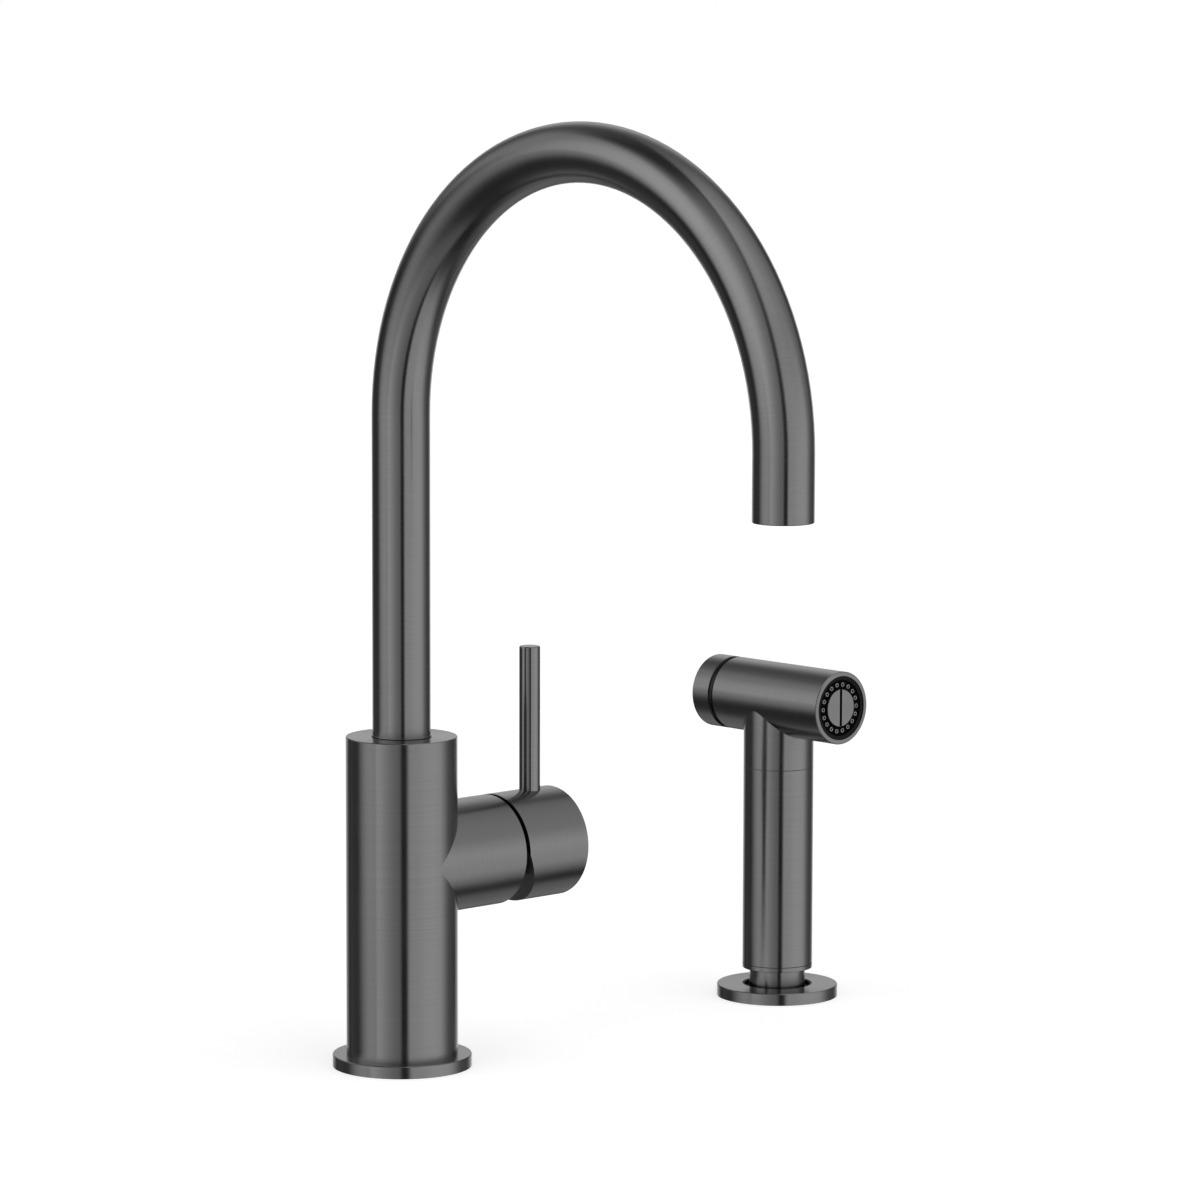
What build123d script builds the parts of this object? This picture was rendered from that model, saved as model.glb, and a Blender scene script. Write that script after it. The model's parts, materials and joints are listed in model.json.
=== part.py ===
from build123d import *
import math
import os

# Side spray kitchen faucet: a gooseneck mixer with a side valve, and a handset in its own deck holder.
# Millimetres. The origin lies in the deck surface on the mixer's axis. +Z is up, the spout reaches
# towards -Y, and both the side valve and the side spray lie towards +X.

os.makedirs("parts", exist_ok=True)

# ---------------------------------------------------------------------------------------------
# Driving dimensions
# ---------------------------------------------------------------------------------------------

# Gaps between pieces
RUN = 0.05  # radial gap of a running or swivelling fit
SLIP = 0.1  # radial gap of a piece that is pushed into its seat
FREE = 0.3  # gap beside a face that must not touch
EDGE = 0.3  # broken edge on turned metal

# Deck and the holes in it
DECK_T = 30.0  # thickness of the sink deck that the clamps take
SPRAY_X = 228.2  # distance between the two tap holes

# Mixer column
BODY_D = 48.0
BODY_TOP = 143.2
BASE_D = 60.0
BASE_H = 5.3
FOOT_D = 39.4  # spigot of the column inside the base plate
GASKET_T = 1.5
GASKET_W = 5.0
HOSE_RING_R = 12.0  # hose threads and stud sit on this radius
HOSE_THREAD_D = 9.0
HOSE_THREAD_L = 10.0
WATERWAY_D = 6.4
LEVEL_WAY_D = 5.6  # level ways from the upright ones to the valve
DRILL_PAST = 1.0  # upright ways run on this far past the level ones
SPRAY_PORT_D = 4.4  # port from the diverter towards the spray hose
MIX_WAY_D = 9.0  # rising way of the mixed water in the middle of the column
STUD_D = 8.0
STUD_GRIP = 14.0  # length of stud inside the column
STUD_TAIL = 15.0
CLAMP_D = 54.0
CLAMP_SLOT = 35.0  # gap of the horseshoe that the hoses pass through
CLAMP_WEB = 5.5  # distance from the mixer's axis to the web of the horseshoe
WASHER_T = 3.0
PLATE_T = 2.5
STUD_NUT_H = 12.0
STUD_NUT_AF = 13.0

# Spout
SPOUT_D = 25.0
SPOUT_WALL = 1.5
SPOUT_REACH = 229.2
ARCH_Z = 281.5  # height of the arch's centre
OUTLET_Z = 254.1
SLEEVE_L = 24.9
SOCKET_L = 6.2  # length of tube that sinks into the column
FOOT_BORE_D = 23.1  # bore that the spout's foot turns in
FOOT_L = 27.0  # length of the foot below the tube
FOOT_WAY_D = 17.0
O_RING_T = 1.8
O_RING_INSET = 5.4  # from each end of the foot
GUIDE_W = 1.9  # radial width of the slide ring
GUIDE_H = 3.0
GUIDE_DEPTH = 1.7  # top of the slide ring below the top of the column
GUIDE_SPLIT = 1.5
SCREW_D = 4.8
SCREW_DEPTH = 19.0  # retaining screw below the top of the column
SCREW_SINK = 1.5  # outer end of the screw below the column's skin
LINER_L = 13.0  # length of the foot inside the tube
SPIGOT_L = 4.0
AERATOR_H = 10.0
AERATOR_RECESS = 1.0
AERATOR_FACE_D = 18.0  # honeycomb's face, one step above the insert's rim
AERATOR_STEP = 1.0
AERATOR_PITCH = 3.4
AERATOR_CELL = 2.9  # width of one honeycomb cell across its flats

# Diverter below the spout's bore
DIVERTER_D = 16.0
DIVERTER_H = 12.0
DIVERTER_BORE_D = 11.0
DIVERTER_FLOOR_T = 2.0
DIVERTER_PORT_D = 7.0
DIVERTER_LIFT = 3.0
PLUNGER_T = 2.0
PLUNGER_STEM_D = 4.0

# Side valve
VALVE_Z = 88.2
BRANCH_REACH = 51.0
BRANCH_UNDERCUT = 0.04  # branch is thinner than the column by a hair, so that the two meet in one clean line
POCKET_D = 35.2
POCKET_DEPTH = 35.0
MOUTH_STEP = 2.4  # threaded mouth is wider than the pocket by this much all round
MOUTH_DEPTH = 10.0
PORT_Y = 5.2  # cold and hot ports beside the valve's axis
PORT_Z = 5.5
PORT_D = 4.6
OUT_PORT_Z = 5.0  # mixed port below the valve's axis
OUT_PORT_D = 6.4
CARTRIDGE_BASE_T = 3.0
SEAL_T = 1.2
FIXED_DISC_T = 3.0
MOVING_DISC_T = 2.5
MIX_W = 12.5  # mixing pocket in the moving disc
MIX_H = 9.0
MIX_R = 3.0
MIX_LAP = 1.0  # land between that pocket and the inlets while the valve is shut
CARRIER_T = 3.0
CARTRIDGE_WALL = 3.55
LIP_W = 1.95  # lip that holds the turret in the cartridge
LIP_T = 3.0
NOSE_W = 0.6  # cartridge's nose is wider than its chamber by this much all round
NUT_SINK = 1.0  # cartridge nut below the branch's end
NUT_HEX_AF = 33.0
TURRET_NECK_L = 5.0
BALL_D = 4.0
BALL_NECK_D = 3.0
BALL_ARM = 8.4  # from the pivot pin to the ball
PIN_D = 4.0
PIN_SINK = 0.7  # ends of the pin below the turret's skin
STEM_W = 8.0
STEM_REACH = 18.0  # length of stem inside the handle
TILT = 20.0  # full opening of the lever, degrees

# Handle
HUB_GAP = 2.0
HUB_L = 34.4
WEDGE_ANGLE = 22.0
ROD_D = 9.2
ROD_INSET = 21.2  # from the hub's inner face to the rod's axis
ROD_RISE = 63.1  # length of rod above the hub
ROD_GRIP = 12.0  # length of rod inside the hub
GRUB_D = 5.0
GRUB_L = 9.0
GRUB_INSET = 14.0
CAP_D = 6.0
CAP_T = 3.0
HEX_SHARE = 0.5  # hexagon socket's width and depth as a share of its screw

# Holder of the side spray
FLANGE_D = 55.2
FLANGE_H = 5.4
FLANGE_HOLE_D = 31.8
SHANK_WALL = 2.6
SHANK_L = 55.0
COLLAR_D = 42.0
COLLAR_T = 3.0
LINER_WALL = 0.8
LINER_LIP_T = 0.7
LINER_SINK = 0.2  # black rim of the liner below the top of the flange
LINER_DEPTH = 16.0
LEDGE_DEPTH = 9.0  # ledge that the handset stands on, below the deck surface
NUT_WASHER_D = 48.0
METAL_WASHER_T = 1.5
HOLDER_NUT_AF = 41.0
HOLDER_NUT_H = 8.0

# Handset grip
NECK_D = 25.4
COLLAR_Z = 13.0
COLLAR_RING_T = 2.1
GRIP_D = 32.0
GRIP_WALL = 1.5
GRIP_TOP = 106.0  # hairline seam between grip and head
SHOULDER_L = 12.0
NECK_END_D = 18.8  # narrow end of the neck below the ledge
NECK_END_L = 6.0
HOSE_SOCKET_D = 14.0
HOSE_SOCKET_L = 11.0
CHECK_VALVE_D = 13.0
CHECK_VALVE_L = 12.0
CHECK_VALVE_WALL = 1.5
SPIDER_W = 2.0
POPPET_D = 6.0
NECK_WAY_D = 9.0
PLUG_D = 14.8
PLUG_L = 9.0
CORE_D = 19.0
CORE_WAY_D = 12.0
CORE_FLANGE_T = 4.0
HEAD_SPIGOT_L = 8.0
HEAD_SPIGOT_WALL = 1.9

# Handset head
HEAD_Z = 136.9
HEAD_D = 33.1
HEAD_FRONT = 39.7  # from the grip's axis to the spray face
HEAD_REAR = 26.75  # from the grip's axis to the head's rear end
HEAD_WALL = 2.0
RISER_D = 10.0  # way from the grip core into the valve chamber
CORE_REAR = 18.0
CORE_FRONT = 31.8
PLENUM_D = 25.0
PLENUM_DEPTH = 8.0
SEAT_T = 4.0
SEAT_D = 7.6
STEM_D = 5.0
CHAMBER_REAR = 8.0
VALVE_CHAMBER_D = 14.0
SOCKET_Z = 10.0  # roof of the grip core's socket below the head's axis
SEAL_D = 12.0
VALVE_SEAL_T = 1.5
STEM_HEAD_D = 10.0
STEM_HEAD_T = 1.5
BOOT_L = 2.75
BOOT_DROP = 0.25  # rubber boot below the head's skin
BOOT_T = 2.1
CAP_L = 10.6
CAP_WALL = 1.9
CAP_END_T = 3.7
BOSS_D = 15.0  # boss of the button that the spring rests on
SPRING_D = 10.0
SPRING_WIRE = 1.0
SPRING_TURNS = 5

# Spray face
RIM_DEPTH = 0.5  # raised ring of the black face below the metal rim
FACE_DEPTH = 1.1  # plate of the black face below the metal rim
FACE_RING_W = 1.7
NOZZLE_COUNT = 18
NOZZLE_RING_R = 10.6
NOZZLE_D = 1.9
NOZZLE_BORE_D = 0.9
NOZZLE_RISE = 0.35
DISC_D = 16.9
DISC_T = 1.8
DISC_SLOT_W = 1.5
DISC_SLOT_DEPTH = 0.8
DISC_SHANK_D = 8.0

# ---------------------------------------------------------------------------------------------
# Sizes that follow from them
# ---------------------------------------------------------------------------------------------

BODY_R = BODY_D / 2
BRANCH_D = BODY_D - BRANCH_UNDERCUT
FOOT_TOP = BODY_TOP - SOCKET_L  # end of the tube in the column
FOOT_BOTTOM = FOOT_TOP - FOOT_L
SCREW_Z = BODY_TOP - SCREW_DEPTH
SLEEVE_TOP = OUTLET_Z + SLEEVE_L
ARCH_R = SPOUT_REACH / 2
TUBE_BORE_R = SPOUT_D / 2 - SPOUT_WALL
CLAMP_Z = -DECK_T
NUT_Z = CLAMP_Z - WASHER_T - PLATE_T
GASKET_R = (BASE_D + FOOT_D) / 4  # middle of the gasket, halfway across the base plate
GUIDE_TOP = BODY_TOP - GUIDE_DEPTH
GROOVE_D = FOOT_BORE_D - 2 * O_RING_T - 2 * SLIP  # floor of the grooves in the spout's foot
SCREW_TIP = GROOVE_D / 2 + 2 * FREE
O_RING_ZS = (FOOT_BOTTOM + O_RING_INSET, FOOT_TOP - O_RING_INSET)
OUTLET_BORE_D = 2 * TUBE_BORE_R
WASHER_Z = AERATOR_RECESS + AERATOR_H
SLEEVE_SHOULDER = WASHER_Z + O_RING_T
DIVERTER_Z = FOOT_BOTTOM - DIVERTER_H
PLUNGER_Z = DIVERTER_Z + DIVERTER_FLOOR_T
SPRAY_WAY_Z = PLUNGER_Z + PLUNGER_T / 2 + SPRAY_PORT_D / 2

POCKET_FLOOR = BRANCH_REACH - POCKET_DEPTH
MOUTH_FLOOR = BRANCH_REACH - MOUTH_DEPTH
MOUTH_D = POCKET_D + 2 * MOUTH_STEP
CHAMBER_D = POCKET_D - 2 * SLIP - 2 * CARTRIDGE_WALL
LIP_D = CHAMBER_D - 2 * LIP_W
NOSE_D = CHAMBER_D + 2 * NOSE_W
FIXED_DISC_X = POCKET_FLOOR + CARTRIDGE_BASE_T
MOVING_DISC_X = FIXED_DISC_X + FIXED_DISC_T
CARRIER_X = MOVING_DISC_X + MOVING_DISC_T
BALL_X = CARRIER_X + BALL_D / 2 + SLIP
PIVOT_X = BALL_X + BALL_ARM
TURRET_X = CARRIER_X + CARRIER_T + 2 * FREE
STEM_BACK = PIVOT_X - STEM_W / 2
HUB_X = BRANCH_REACH + HUB_GAP
STEM_END = HUB_X + STEM_REACH
ROD_X = HUB_X + ROD_INSET
HUB_TOP = VALVE_Z + BODY_R
GRUB_X = HUB_X + GRUB_INSET
STEM_BOTTOM = VALVE_Z - STEM_W / 2
HUB_SKIN = BODY_R - STEM_W / 2  # from the stem's underside to the hub's underside
# the ball lifts the carrier by this much when the lever is fully open
DISC_TRAVEL = BALL_ARM * math.radians(TILT)
MOVING_DISC_D = CHAMBER_D - 2 * DISC_TRAVEL - 2 * FREE
MIX_Z = PORT_Z - PORT_D / 2 - MIX_LAP - MIX_H / 2
SLOT_W = STEM_W + 4 * SLIP  # slot that the stem tilts in
STEM_HALF = STEM_W / 2 + 2 * FREE  # stem's half height with its gap
NECK_END = MOUTH_FLOOR + TURRET_NECK_L
OPEN_DROP = (NECK_END - PIVOT_X) * math.tan(math.radians(TILT)) + STEM_HALF

LINER_BORE_D = NECK_D + 2 * FREE
LINER_D = LINER_BORE_D + 2 * LINER_WALL
SHANK_BORE_D = LINER_D + 2 * SLIP
LINER_RIM_D = FLANGE_HOLE_D - 2 * SLIP
LINER_RIM_Z = FLANGE_H - LINER_SINK
SHANK_D = SHANK_BORE_D + 2 * SHANK_WALL
LEDGE_BORE_D = NECK_END_D + 4 * SLIP
SPRAY_GASKET_D = (FLANGE_D + COLLAR_D + 2 * SLIP) / 2
HOLDER_NUT_TOP = CLAMP_Z - WASHER_T - METAL_WASHER_T
NECK_SHOULDER = COLLAR_Z + COLLAR_RING_T
NECK_TOP = NECK_SHOULDER + SHOULDER_L
NECK_BOTTOM = -LEDGE_DEPTH - NECK_END_L
PLUG_TOP = NECK_TOP + PLUG_L
SOCKET_TOP = NECK_BOTTOM + HOSE_SOCKET_L
GRIP_BORE_R = GRIP_D / 2 - GRIP_WALL
CORE_BOTTOM = NECK_TOP + FREE
CORE_TOP = HEAD_Z - SOCKET_Z
O_GROOVE_D = PLUG_D - 2 * O_RING_T
NECK_O_RING_Z = NECK_TOP + PLUG_L / 2
STUB_BORE_D = 2 * (GRIP_BORE_R - SLIP - HEAD_SPIGOT_WALL)

HEAD_BORE_D = HEAD_D - 2 * HEAD_WALL
SEAT_FRONT = CORE_FRONT - PLENUM_DEPTH
BOOT_D = HEAD_D - 2 * BOOT_DROP
CAP_FRONT = HEAD_REAR + BOOT_L
CAP_REAR = CAP_FRONT + CAP_L
CAP_FLOOR = CAP_REAR - CAP_END_T
SPRING_L = CAP_FRONT - CORE_REAR  # from the valve body to the button's boss
FACE_PLATE = HEAD_FRONT - FACE_DEPTH
FACE_D = HEAD_BORE_D - 2 * SLIP
DISC_BACK = FACE_PLATE - DISC_T / 2

# Planes whose normal is the axis of the turned pieces on them
DECK = Plane.XY
SCREW = Plane(origin=(0, 0, SCREW_Z), z_dir=(0, 1, 0))
OUTLET = Plane(origin=(0, -SPOUT_REACH, OUTLET_Z))
VALVE = Plane(origin=(0, 0, VALVE_Z), x_dir=(0, 1, 0), z_dir=(1, 0, 0))
PIVOT = Plane(origin=(PIVOT_X, 0, VALVE_Z), z_dir=(0, 1, 0))
LEVER = Plane(origin=(ROD_X, 0, HUB_TOP))
UNDER_STEM = Plane(origin=(GRUB_X, 0, STEM_BOTTOM), z_dir=(0, 0, -1))
SPRAY = Plane(origin=(SPRAY_X, 0, 0))
HEAD = Plane(origin=(SPRAY_X, 0, HEAD_Z), x_dir=(1, 0, 0), z_dir=(0, -1, 0))


# ---------------------------------------------------------------------------------------------
# Turned and hexagonal stock, used inside a part's own block
# ---------------------------------------------------------------------------------------------


def rod(plane, start, end, diameter, mode=Mode.ADD):
    """Round bar along the plane's normal, between two distances from the plane."""
    with Locations(plane.offset(start)):
        Cylinder(diameter / 2, end - start, align=(Align.CENTER, Align.CENTER, Align.MIN), mode=mode)


def bore(plane, start, end, diameter):
    """Round hole along the plane's normal, between two distances from the plane."""
    rod(plane, start, end, diameter, mode=Mode.SUBTRACT)


def groove(plane, middle, width, outer_d, floor_d):
    """Square groove round a bar."""
    with BuildSketch(plane.offset(middle - width / 2)) as ring:
        Circle(outer_d / 2)
        Circle(floor_d / 2, mode=Mode.SUBTRACT)
    extrude(ring.sketch, amount=width, mode=Mode.SUBTRACT)


def ring_groove(plane, middle, width, depth):
    """Ring-shaped groove cut upwards into a flat face."""
    with BuildSketch(plane) as ring:
        Circle(middle + width / 2)
        Circle(middle - width / 2, mode=Mode.SUBTRACT)
    extrude(ring.sketch, amount=depth, mode=Mode.SUBTRACT)


def hex_socket(plane, end, screw_d):
    """Socket of a grub screw, sunk from its end face."""
    with BuildSketch(plane.offset(end)) as hexagon:
        RegularPolygon(HEX_SHARE * screw_d / 2, 6)
    extrude(hexagon.sketch, amount=-HEX_SHARE * screw_d, mode=Mode.SUBTRACT)


def o_ring(plane, height, bore_d):
    """Rubber ring with an eight-sided section, whose outside stops a running gap short of the bore."""
    section = Plane(origin=plane.offset(height).origin, x_dir=plane.x_dir, z_dir=-plane.y_dir)
    with BuildSketch(section) as profile:
        with Locations((bore_d / 2 - RUN - O_RING_T / 2, 0)):
            RegularPolygon(O_RING_T / 2, 8, major_radius=False, rotation=22.5)
    revolve(profile.sketch, axis=Axis(plane.origin, plane.z_dir))


def hose_place(turn):
    """Plane at one of the four places at the column's foot."""
    angle = math.radians(45 + turn * 90)
    return Plane(origin=(HOSE_RING_R * math.cos(angle), HOSE_RING_R * math.sin(angle), 0))


COLD, SPRAY_OUT, STUD, HOT = (hose_place(turn) for turn in range(4))
# from the column's axis level through the diverter towards the spray outlet
SPRAY_PORT = Plane(origin=(0, 0, SPRAY_WAY_Z), z_dir=SPRAY_OUT.origin)


# ---------------------------------------------------------------------------------------------
# Mixer: base plate, column and deck clamp
# ---------------------------------------------------------------------------------------------

with BuildPart() as base_flange:
    rod(DECK, 0, BASE_H, BASE_D)
    chamfer(base_flange.edges().group_by(Axis.Z)[-1], EDGE)
    bore(DECK, 0, BASE_H, FOOT_D + 2 * SLIP)
    ring_groove(DECK, GASKET_R, GASKET_W, GASKET_T)

with BuildPart() as base_gasket:
    rod(DECK, 0, GASKET_T, 2 * GASKET_R + GASKET_W - 2 * SLIP)
    bore(DECK, 0, GASKET_T, 2 * GASKET_R - GASKET_W + 2 * SLIP)

with BuildPart() as body_shell:
    rod(DECK, BASE_H, BODY_TOP, BODY_D)
    rod(VALVE, 0, BRANCH_REACH, BRANCH_D)
    chamfer(body_shell.edges().group_by(Axis.Z)[-1], EDGE)
    chamfer(body_shell.edges().group_by(Axis.X)[-1], EDGE)
    rod(DECK, 0, BASE_H, FOOT_D)
    # spout's bore: mouth round the tube, groove of the slide ring, bore of the foot
    bore(DECK, FOOT_TOP - FREE, BODY_TOP, SPOUT_D + 2 * FREE)
    bore(DECK, GUIDE_TOP - GUIDE_H, GUIDE_TOP, SPOUT_D + 2 * GUIDE_W + 2 * SLIP)
    bore(DECK, FOOT_BOTTOM, FOOT_TOP, FOOT_BORE_D)
    # retaining screw, from the back of the column into the spout's bore
    bore(SCREW, 0, BODY_R + FREE, SCREW_D + 2 * SLIP)
    # diverter chamber and the mixed water's way up to it
    bore(DECK, DIVERTER_Z, FOOT_BOTTOM, DIVERTER_D + 2 * SLIP)
    bore(DECK, VALVE_Z - OUT_PORT_Z - OUT_PORT_D / 2 - DRILL_PAST, DIVERTER_Z, MIX_WAY_D)
    # pocket of the cartridge and its threaded mouth
    bore(VALVE, POCKET_FLOOR, BRANCH_REACH, POCKET_D)
    bore(VALVE, MOUTH_FLOOR, BRANCH_REACH, MOUTH_D)
    # mixed water, from the pocket's floor to the middle of the column
    with BuildSketch(VALVE):
        with Locations((0, -OUT_PORT_Z)):
            Circle(OUT_PORT_D / 2)
    extrude(amount=POCKET_FLOOR, mode=Mode.SUBTRACT)
    # cold and hot water, from the hose threads up and into the pocket's floor
    with BuildSketch(VALVE.offset(COLD.origin.X)):
        with Locations((-PORT_Y, PORT_Z), (PORT_Y, PORT_Z)):
            Circle(LEVEL_WAY_D / 2)
    extrude(amount=POCKET_FLOOR - COLD.origin.X, mode=Mode.SUBTRACT)
    for inlet in (COLD, HOT):
        bore(inlet, HOSE_THREAD_L, VALVE_Z + PORT_Z + LEVEL_WAY_D / 2 + DRILL_PAST, WATERWAY_D)
        bore(inlet, 0, HOSE_THREAD_L, HOSE_THREAD_D)
    # spray water, from the diverter across and down to its hose thread
    bore(SPRAY_OUT, HOSE_THREAD_L, SPRAY_WAY_Z + SPRAY_PORT_D / 2 + DRILL_PAST, WATERWAY_D)
    bore(SPRAY_OUT, 0, HOSE_THREAD_L, HOSE_THREAD_D)
    bore(SPRAY_PORT, 0, HOSE_RING_R, SPRAY_PORT_D)
    # blind thread of the stud
    bore(STUD, 0, STUD_GRIP, STUD_D + 2 * SLIP)

with BuildPart() as spout_guide_ring:
    rod(DECK, GUIDE_TOP - GUIDE_H, GUIDE_TOP, SPOUT_D + 2 * GUIDE_W)
    bore(DECK, GUIDE_TOP - GUIDE_H, GUIDE_TOP, SPOUT_D + 2 * RUN)
    # the split lets the ring close to pass the column's mouth
    with Locations((0, SPOUT_D / 2, GUIDE_TOP - GUIDE_H / 2)):
        Box(GUIDE_SPLIT, 4 * GUIDE_W, 2 * GUIDE_H, mode=Mode.SUBTRACT)

with BuildPart() as spout_set_screw:
    rod(SCREW, SCREW_TIP, BODY_R - SCREW_SINK, SCREW_D)
    chamfer(spout_set_screw.edges().group_by(Axis.Y)[0], 2 * EDGE)
    hex_socket(SCREW, BODY_R - SCREW_SINK, SCREW_D)


def horseshoe(top, thickness):
    """Clamp piece round the hoses, open away from the stud, hanging down from its top face."""
    with BuildSketch(DECK.offset(top)) as outline:
        Circle(CLAMP_D / 2)
        # turned by 45 degrees, so that the opening faces away from the stud
        with Locations(Rotation(0, 0, 45)):
            with Locations((CLAMP_D / 2 - CLAMP_WEB, 0)):
                Rectangle(CLAMP_D, CLAMP_SLOT, mode=Mode.SUBTRACT)
        with Locations((STUD.origin.X, STUD.origin.Y)):
            Circle(STUD_D / 2 + FREE, mode=Mode.SUBTRACT)
    extrude(outline.sketch, amount=-thickness)


with BuildPart() as horseshoe_washer:
    horseshoe(CLAMP_Z, WASHER_T)

with BuildPart() as clamp_plate:
    horseshoe(CLAMP_Z - WASHER_T, PLATE_T)

with BuildPart() as stud_nut:
    with BuildSketch(STUD.offset(NUT_Z - STUD_NUT_H)):
        RegularPolygon(STUD_NUT_AF / 2, 6, major_radius=False)
        Circle(STUD_D / 2 + SLIP, mode=Mode.SUBTRACT)
    extrude(amount=STUD_NUT_H)

with BuildPart() as mounting_stud:
    rod(STUD, NUT_Z - STUD_NUT_H - STUD_TAIL, STUD_GRIP, STUD_D)
    chamfer(mounting_stud.edges().filter_by(GeomType.CIRCLE), 2 * EDGE)

# ---------------------------------------------------------------------------------------------
# Diverter: sends the water to the side spray while that is open
# ---------------------------------------------------------------------------------------------

with BuildPart() as diverter_housing:
    rod(DECK, DIVERTER_Z, FOOT_BOTTOM - SLIP, DIVERTER_D)
    bore(DECK, PLUNGER_Z, FOOT_BOTTOM, DIVERTER_BORE_D)
    bore(DECK, DIVERTER_Z, PLUNGER_Z, DIVERTER_PORT_D)
    bore(SPRAY_PORT, 0, DIVERTER_D, SPRAY_PORT_D)

with BuildPart() as diverter_plunger:
    rod(DECK, PLUNGER_Z, PLUNGER_Z + PLUNGER_T, DIVERTER_BORE_D - 2 * SLIP)
    rod(DECK, PLUNGER_Z + PLUNGER_T, FOOT_BOTTOM - DIVERTER_LIFT, PLUNGER_STEM_D)
    chamfer(diverter_plunger.edges().group_by(Axis.Z)[-1], EDGE)

# ---------------------------------------------------------------------------------------------
# Mixing cartridge, built up along the valve's axis from the pocket's floor
# ---------------------------------------------------------------------------------------------


def port_places():
    """Cold, hot and mixed ports across the valve's axis."""
    return Locations((-PORT_Y, PORT_Z), (PORT_Y, PORT_Z), (0, -OUT_PORT_Z))


with BuildPart() as cartridge_base:
    rod(VALVE, POCKET_FLOOR, FIXED_DISC_X, POCKET_D - 2 * SLIP)
    with BuildSketch(VALVE.offset(POCKET_FLOOR)):
        with port_places():
            Circle(PORT_D / 2)
    extrude(amount=CARTRIDGE_BASE_T, mode=Mode.SUBTRACT)
    with BuildSketch(VALVE.offset(POCKET_FLOOR)):
        with port_places():
            Circle(PORT_D / 2 + SEAL_T)
    extrude(amount=SEAL_T, mode=Mode.SUBTRACT)

with BuildPart() as cartridge_port_seals:
    with BuildSketch(VALVE.offset(POCKET_FLOOR)):
        with port_places():
            Circle(PORT_D / 2 + SEAL_T - SLIP)
        with port_places():
            Circle(PORT_D / 2, mode=Mode.SUBTRACT)
    extrude(amount=SEAL_T)

with BuildPart() as ceramic_disc_fixed:
    rod(VALVE, FIXED_DISC_X, MOVING_DISC_X, CHAMBER_D - 2 * SLIP)
    with BuildSketch(VALVE.offset(FIXED_DISC_X)):
        with port_places():
            Circle(PORT_D / 2)
    extrude(amount=FIXED_DISC_T, mode=Mode.SUBTRACT)

with BuildPart() as ceramic_disc_moving:
    rod(VALVE, MOVING_DISC_X, CARRIER_X, MOVING_DISC_D)
    # mixing pocket in the face on the fixed disc, clear of the inlets while the valve is shut
    with BuildSketch(VALVE.offset(MOVING_DISC_X)):
        with Locations((0, MIX_Z)):
            RectangleRounded(MIX_W, MIX_H, MIX_R)
    extrude(amount=MOVING_DISC_T / 2, mode=Mode.SUBTRACT)

with BuildPart() as disc_carrier:
    rod(VALVE, CARRIER_X, CARRIER_X + CARRIER_T, MOVING_DISC_D)
    bore(VALVE, CARRIER_X, CARRIER_X + CARRIER_T, BALL_D + 3 * SLIP)

with BuildPart() as cartridge_housing:
    rod(VALVE, FIXED_DISC_X, MOUTH_FLOOR, POCKET_D - 2 * SLIP)
    rod(VALVE, MOUTH_FLOOR, MOUTH_FLOOR + LIP_T, NOSE_D)
    bore(VALVE, FIXED_DISC_X, MOUTH_FLOOR, CHAMBER_D)
    bore(VALVE, MOUTH_FLOOR, MOUTH_FLOOR + LIP_T, LIP_D)

with BuildPart() as valve_turret:
    rod(VALVE, TURRET_X, MOUTH_FLOOR, CHAMBER_D - 2 * RUN)
    rod(VALVE, MOUTH_FLOOR, NECK_END, LIP_D - 2 * RUN)
    chamfer(valve_turret.edges().group_by(Axis.X)[-1], EDGE)
    # the stem's slot opens downwards outside the pin and upwards inside it
    with BuildSketch(Plane(origin=(PIVOT_X, 0, VALVE_Z), x_dir=(1, 0, 0), z_dir=(0, -1, 0))):
        with Locations((-STEM_W / 4, -OPEN_DROP)):
            Rectangle(2 * STEM_REACH, OPEN_DROP + STEM_HALF, align=(Align.MIN, Align.MIN))
        with Locations((STEM_W / 4, -STEM_HALF)):
            Rectangle(2 * STEM_W, 2 * STEM_HALF + DISC_TRAVEL, align=(Align.MAX, Align.MIN))
    extrude(amount=SLOT_W / 2, both=True, mode=Mode.SUBTRACT)
    bore(PIVOT, -CHAMBER_D / 2, CHAMBER_D / 2, PIN_D)

with BuildPart() as turret_pivot_pin:
    rod(PIVOT, PIN_SINK - CHAMBER_D / 2, CHAMBER_D / 2 - PIN_SINK, PIN_D)

with BuildPart() as cartridge_stem:
    with BuildSketch(VALVE.offset(STEM_BACK)):
        Rectangle(STEM_W, STEM_W)
    extrude(amount=STEM_END - STEM_BACK)
    chamfer(cartridge_stem.faces().sort_by(Axis.X)[-1].edges(), 2 * EDGE)
    rod(VALVE, BALL_X, STEM_BACK, BALL_NECK_D)
    with Locations((BALL_X, 0, VALVE_Z)):
        Sphere(BALL_D / 2)
    bore(PIVOT, -STEM_W, STEM_W, PIN_D + 2 * RUN)

with BuildPart() as cartridge_nut:
    rod(VALVE, MOUTH_FLOOR, BRANCH_REACH - NUT_SINK, MOUTH_D - 2 * SLIP)
    bore(VALVE, MOUTH_FLOOR, BRANCH_REACH, NOSE_D + 2 * SLIP)
    # hexagon for the key, from the mouth to halfway down
    with BuildSketch(VALVE.offset(BRANCH_REACH)):
        RegularPolygon(NUT_HEX_AF / 2, 6, major_radius=False)
    extrude(amount=-MOUTH_DEPTH / 2, mode=Mode.SUBTRACT)

# ---------------------------------------------------------------------------------------------
# Handle: hub with its wedge cut, and the upright rod
# ---------------------------------------------------------------------------------------------

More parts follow.
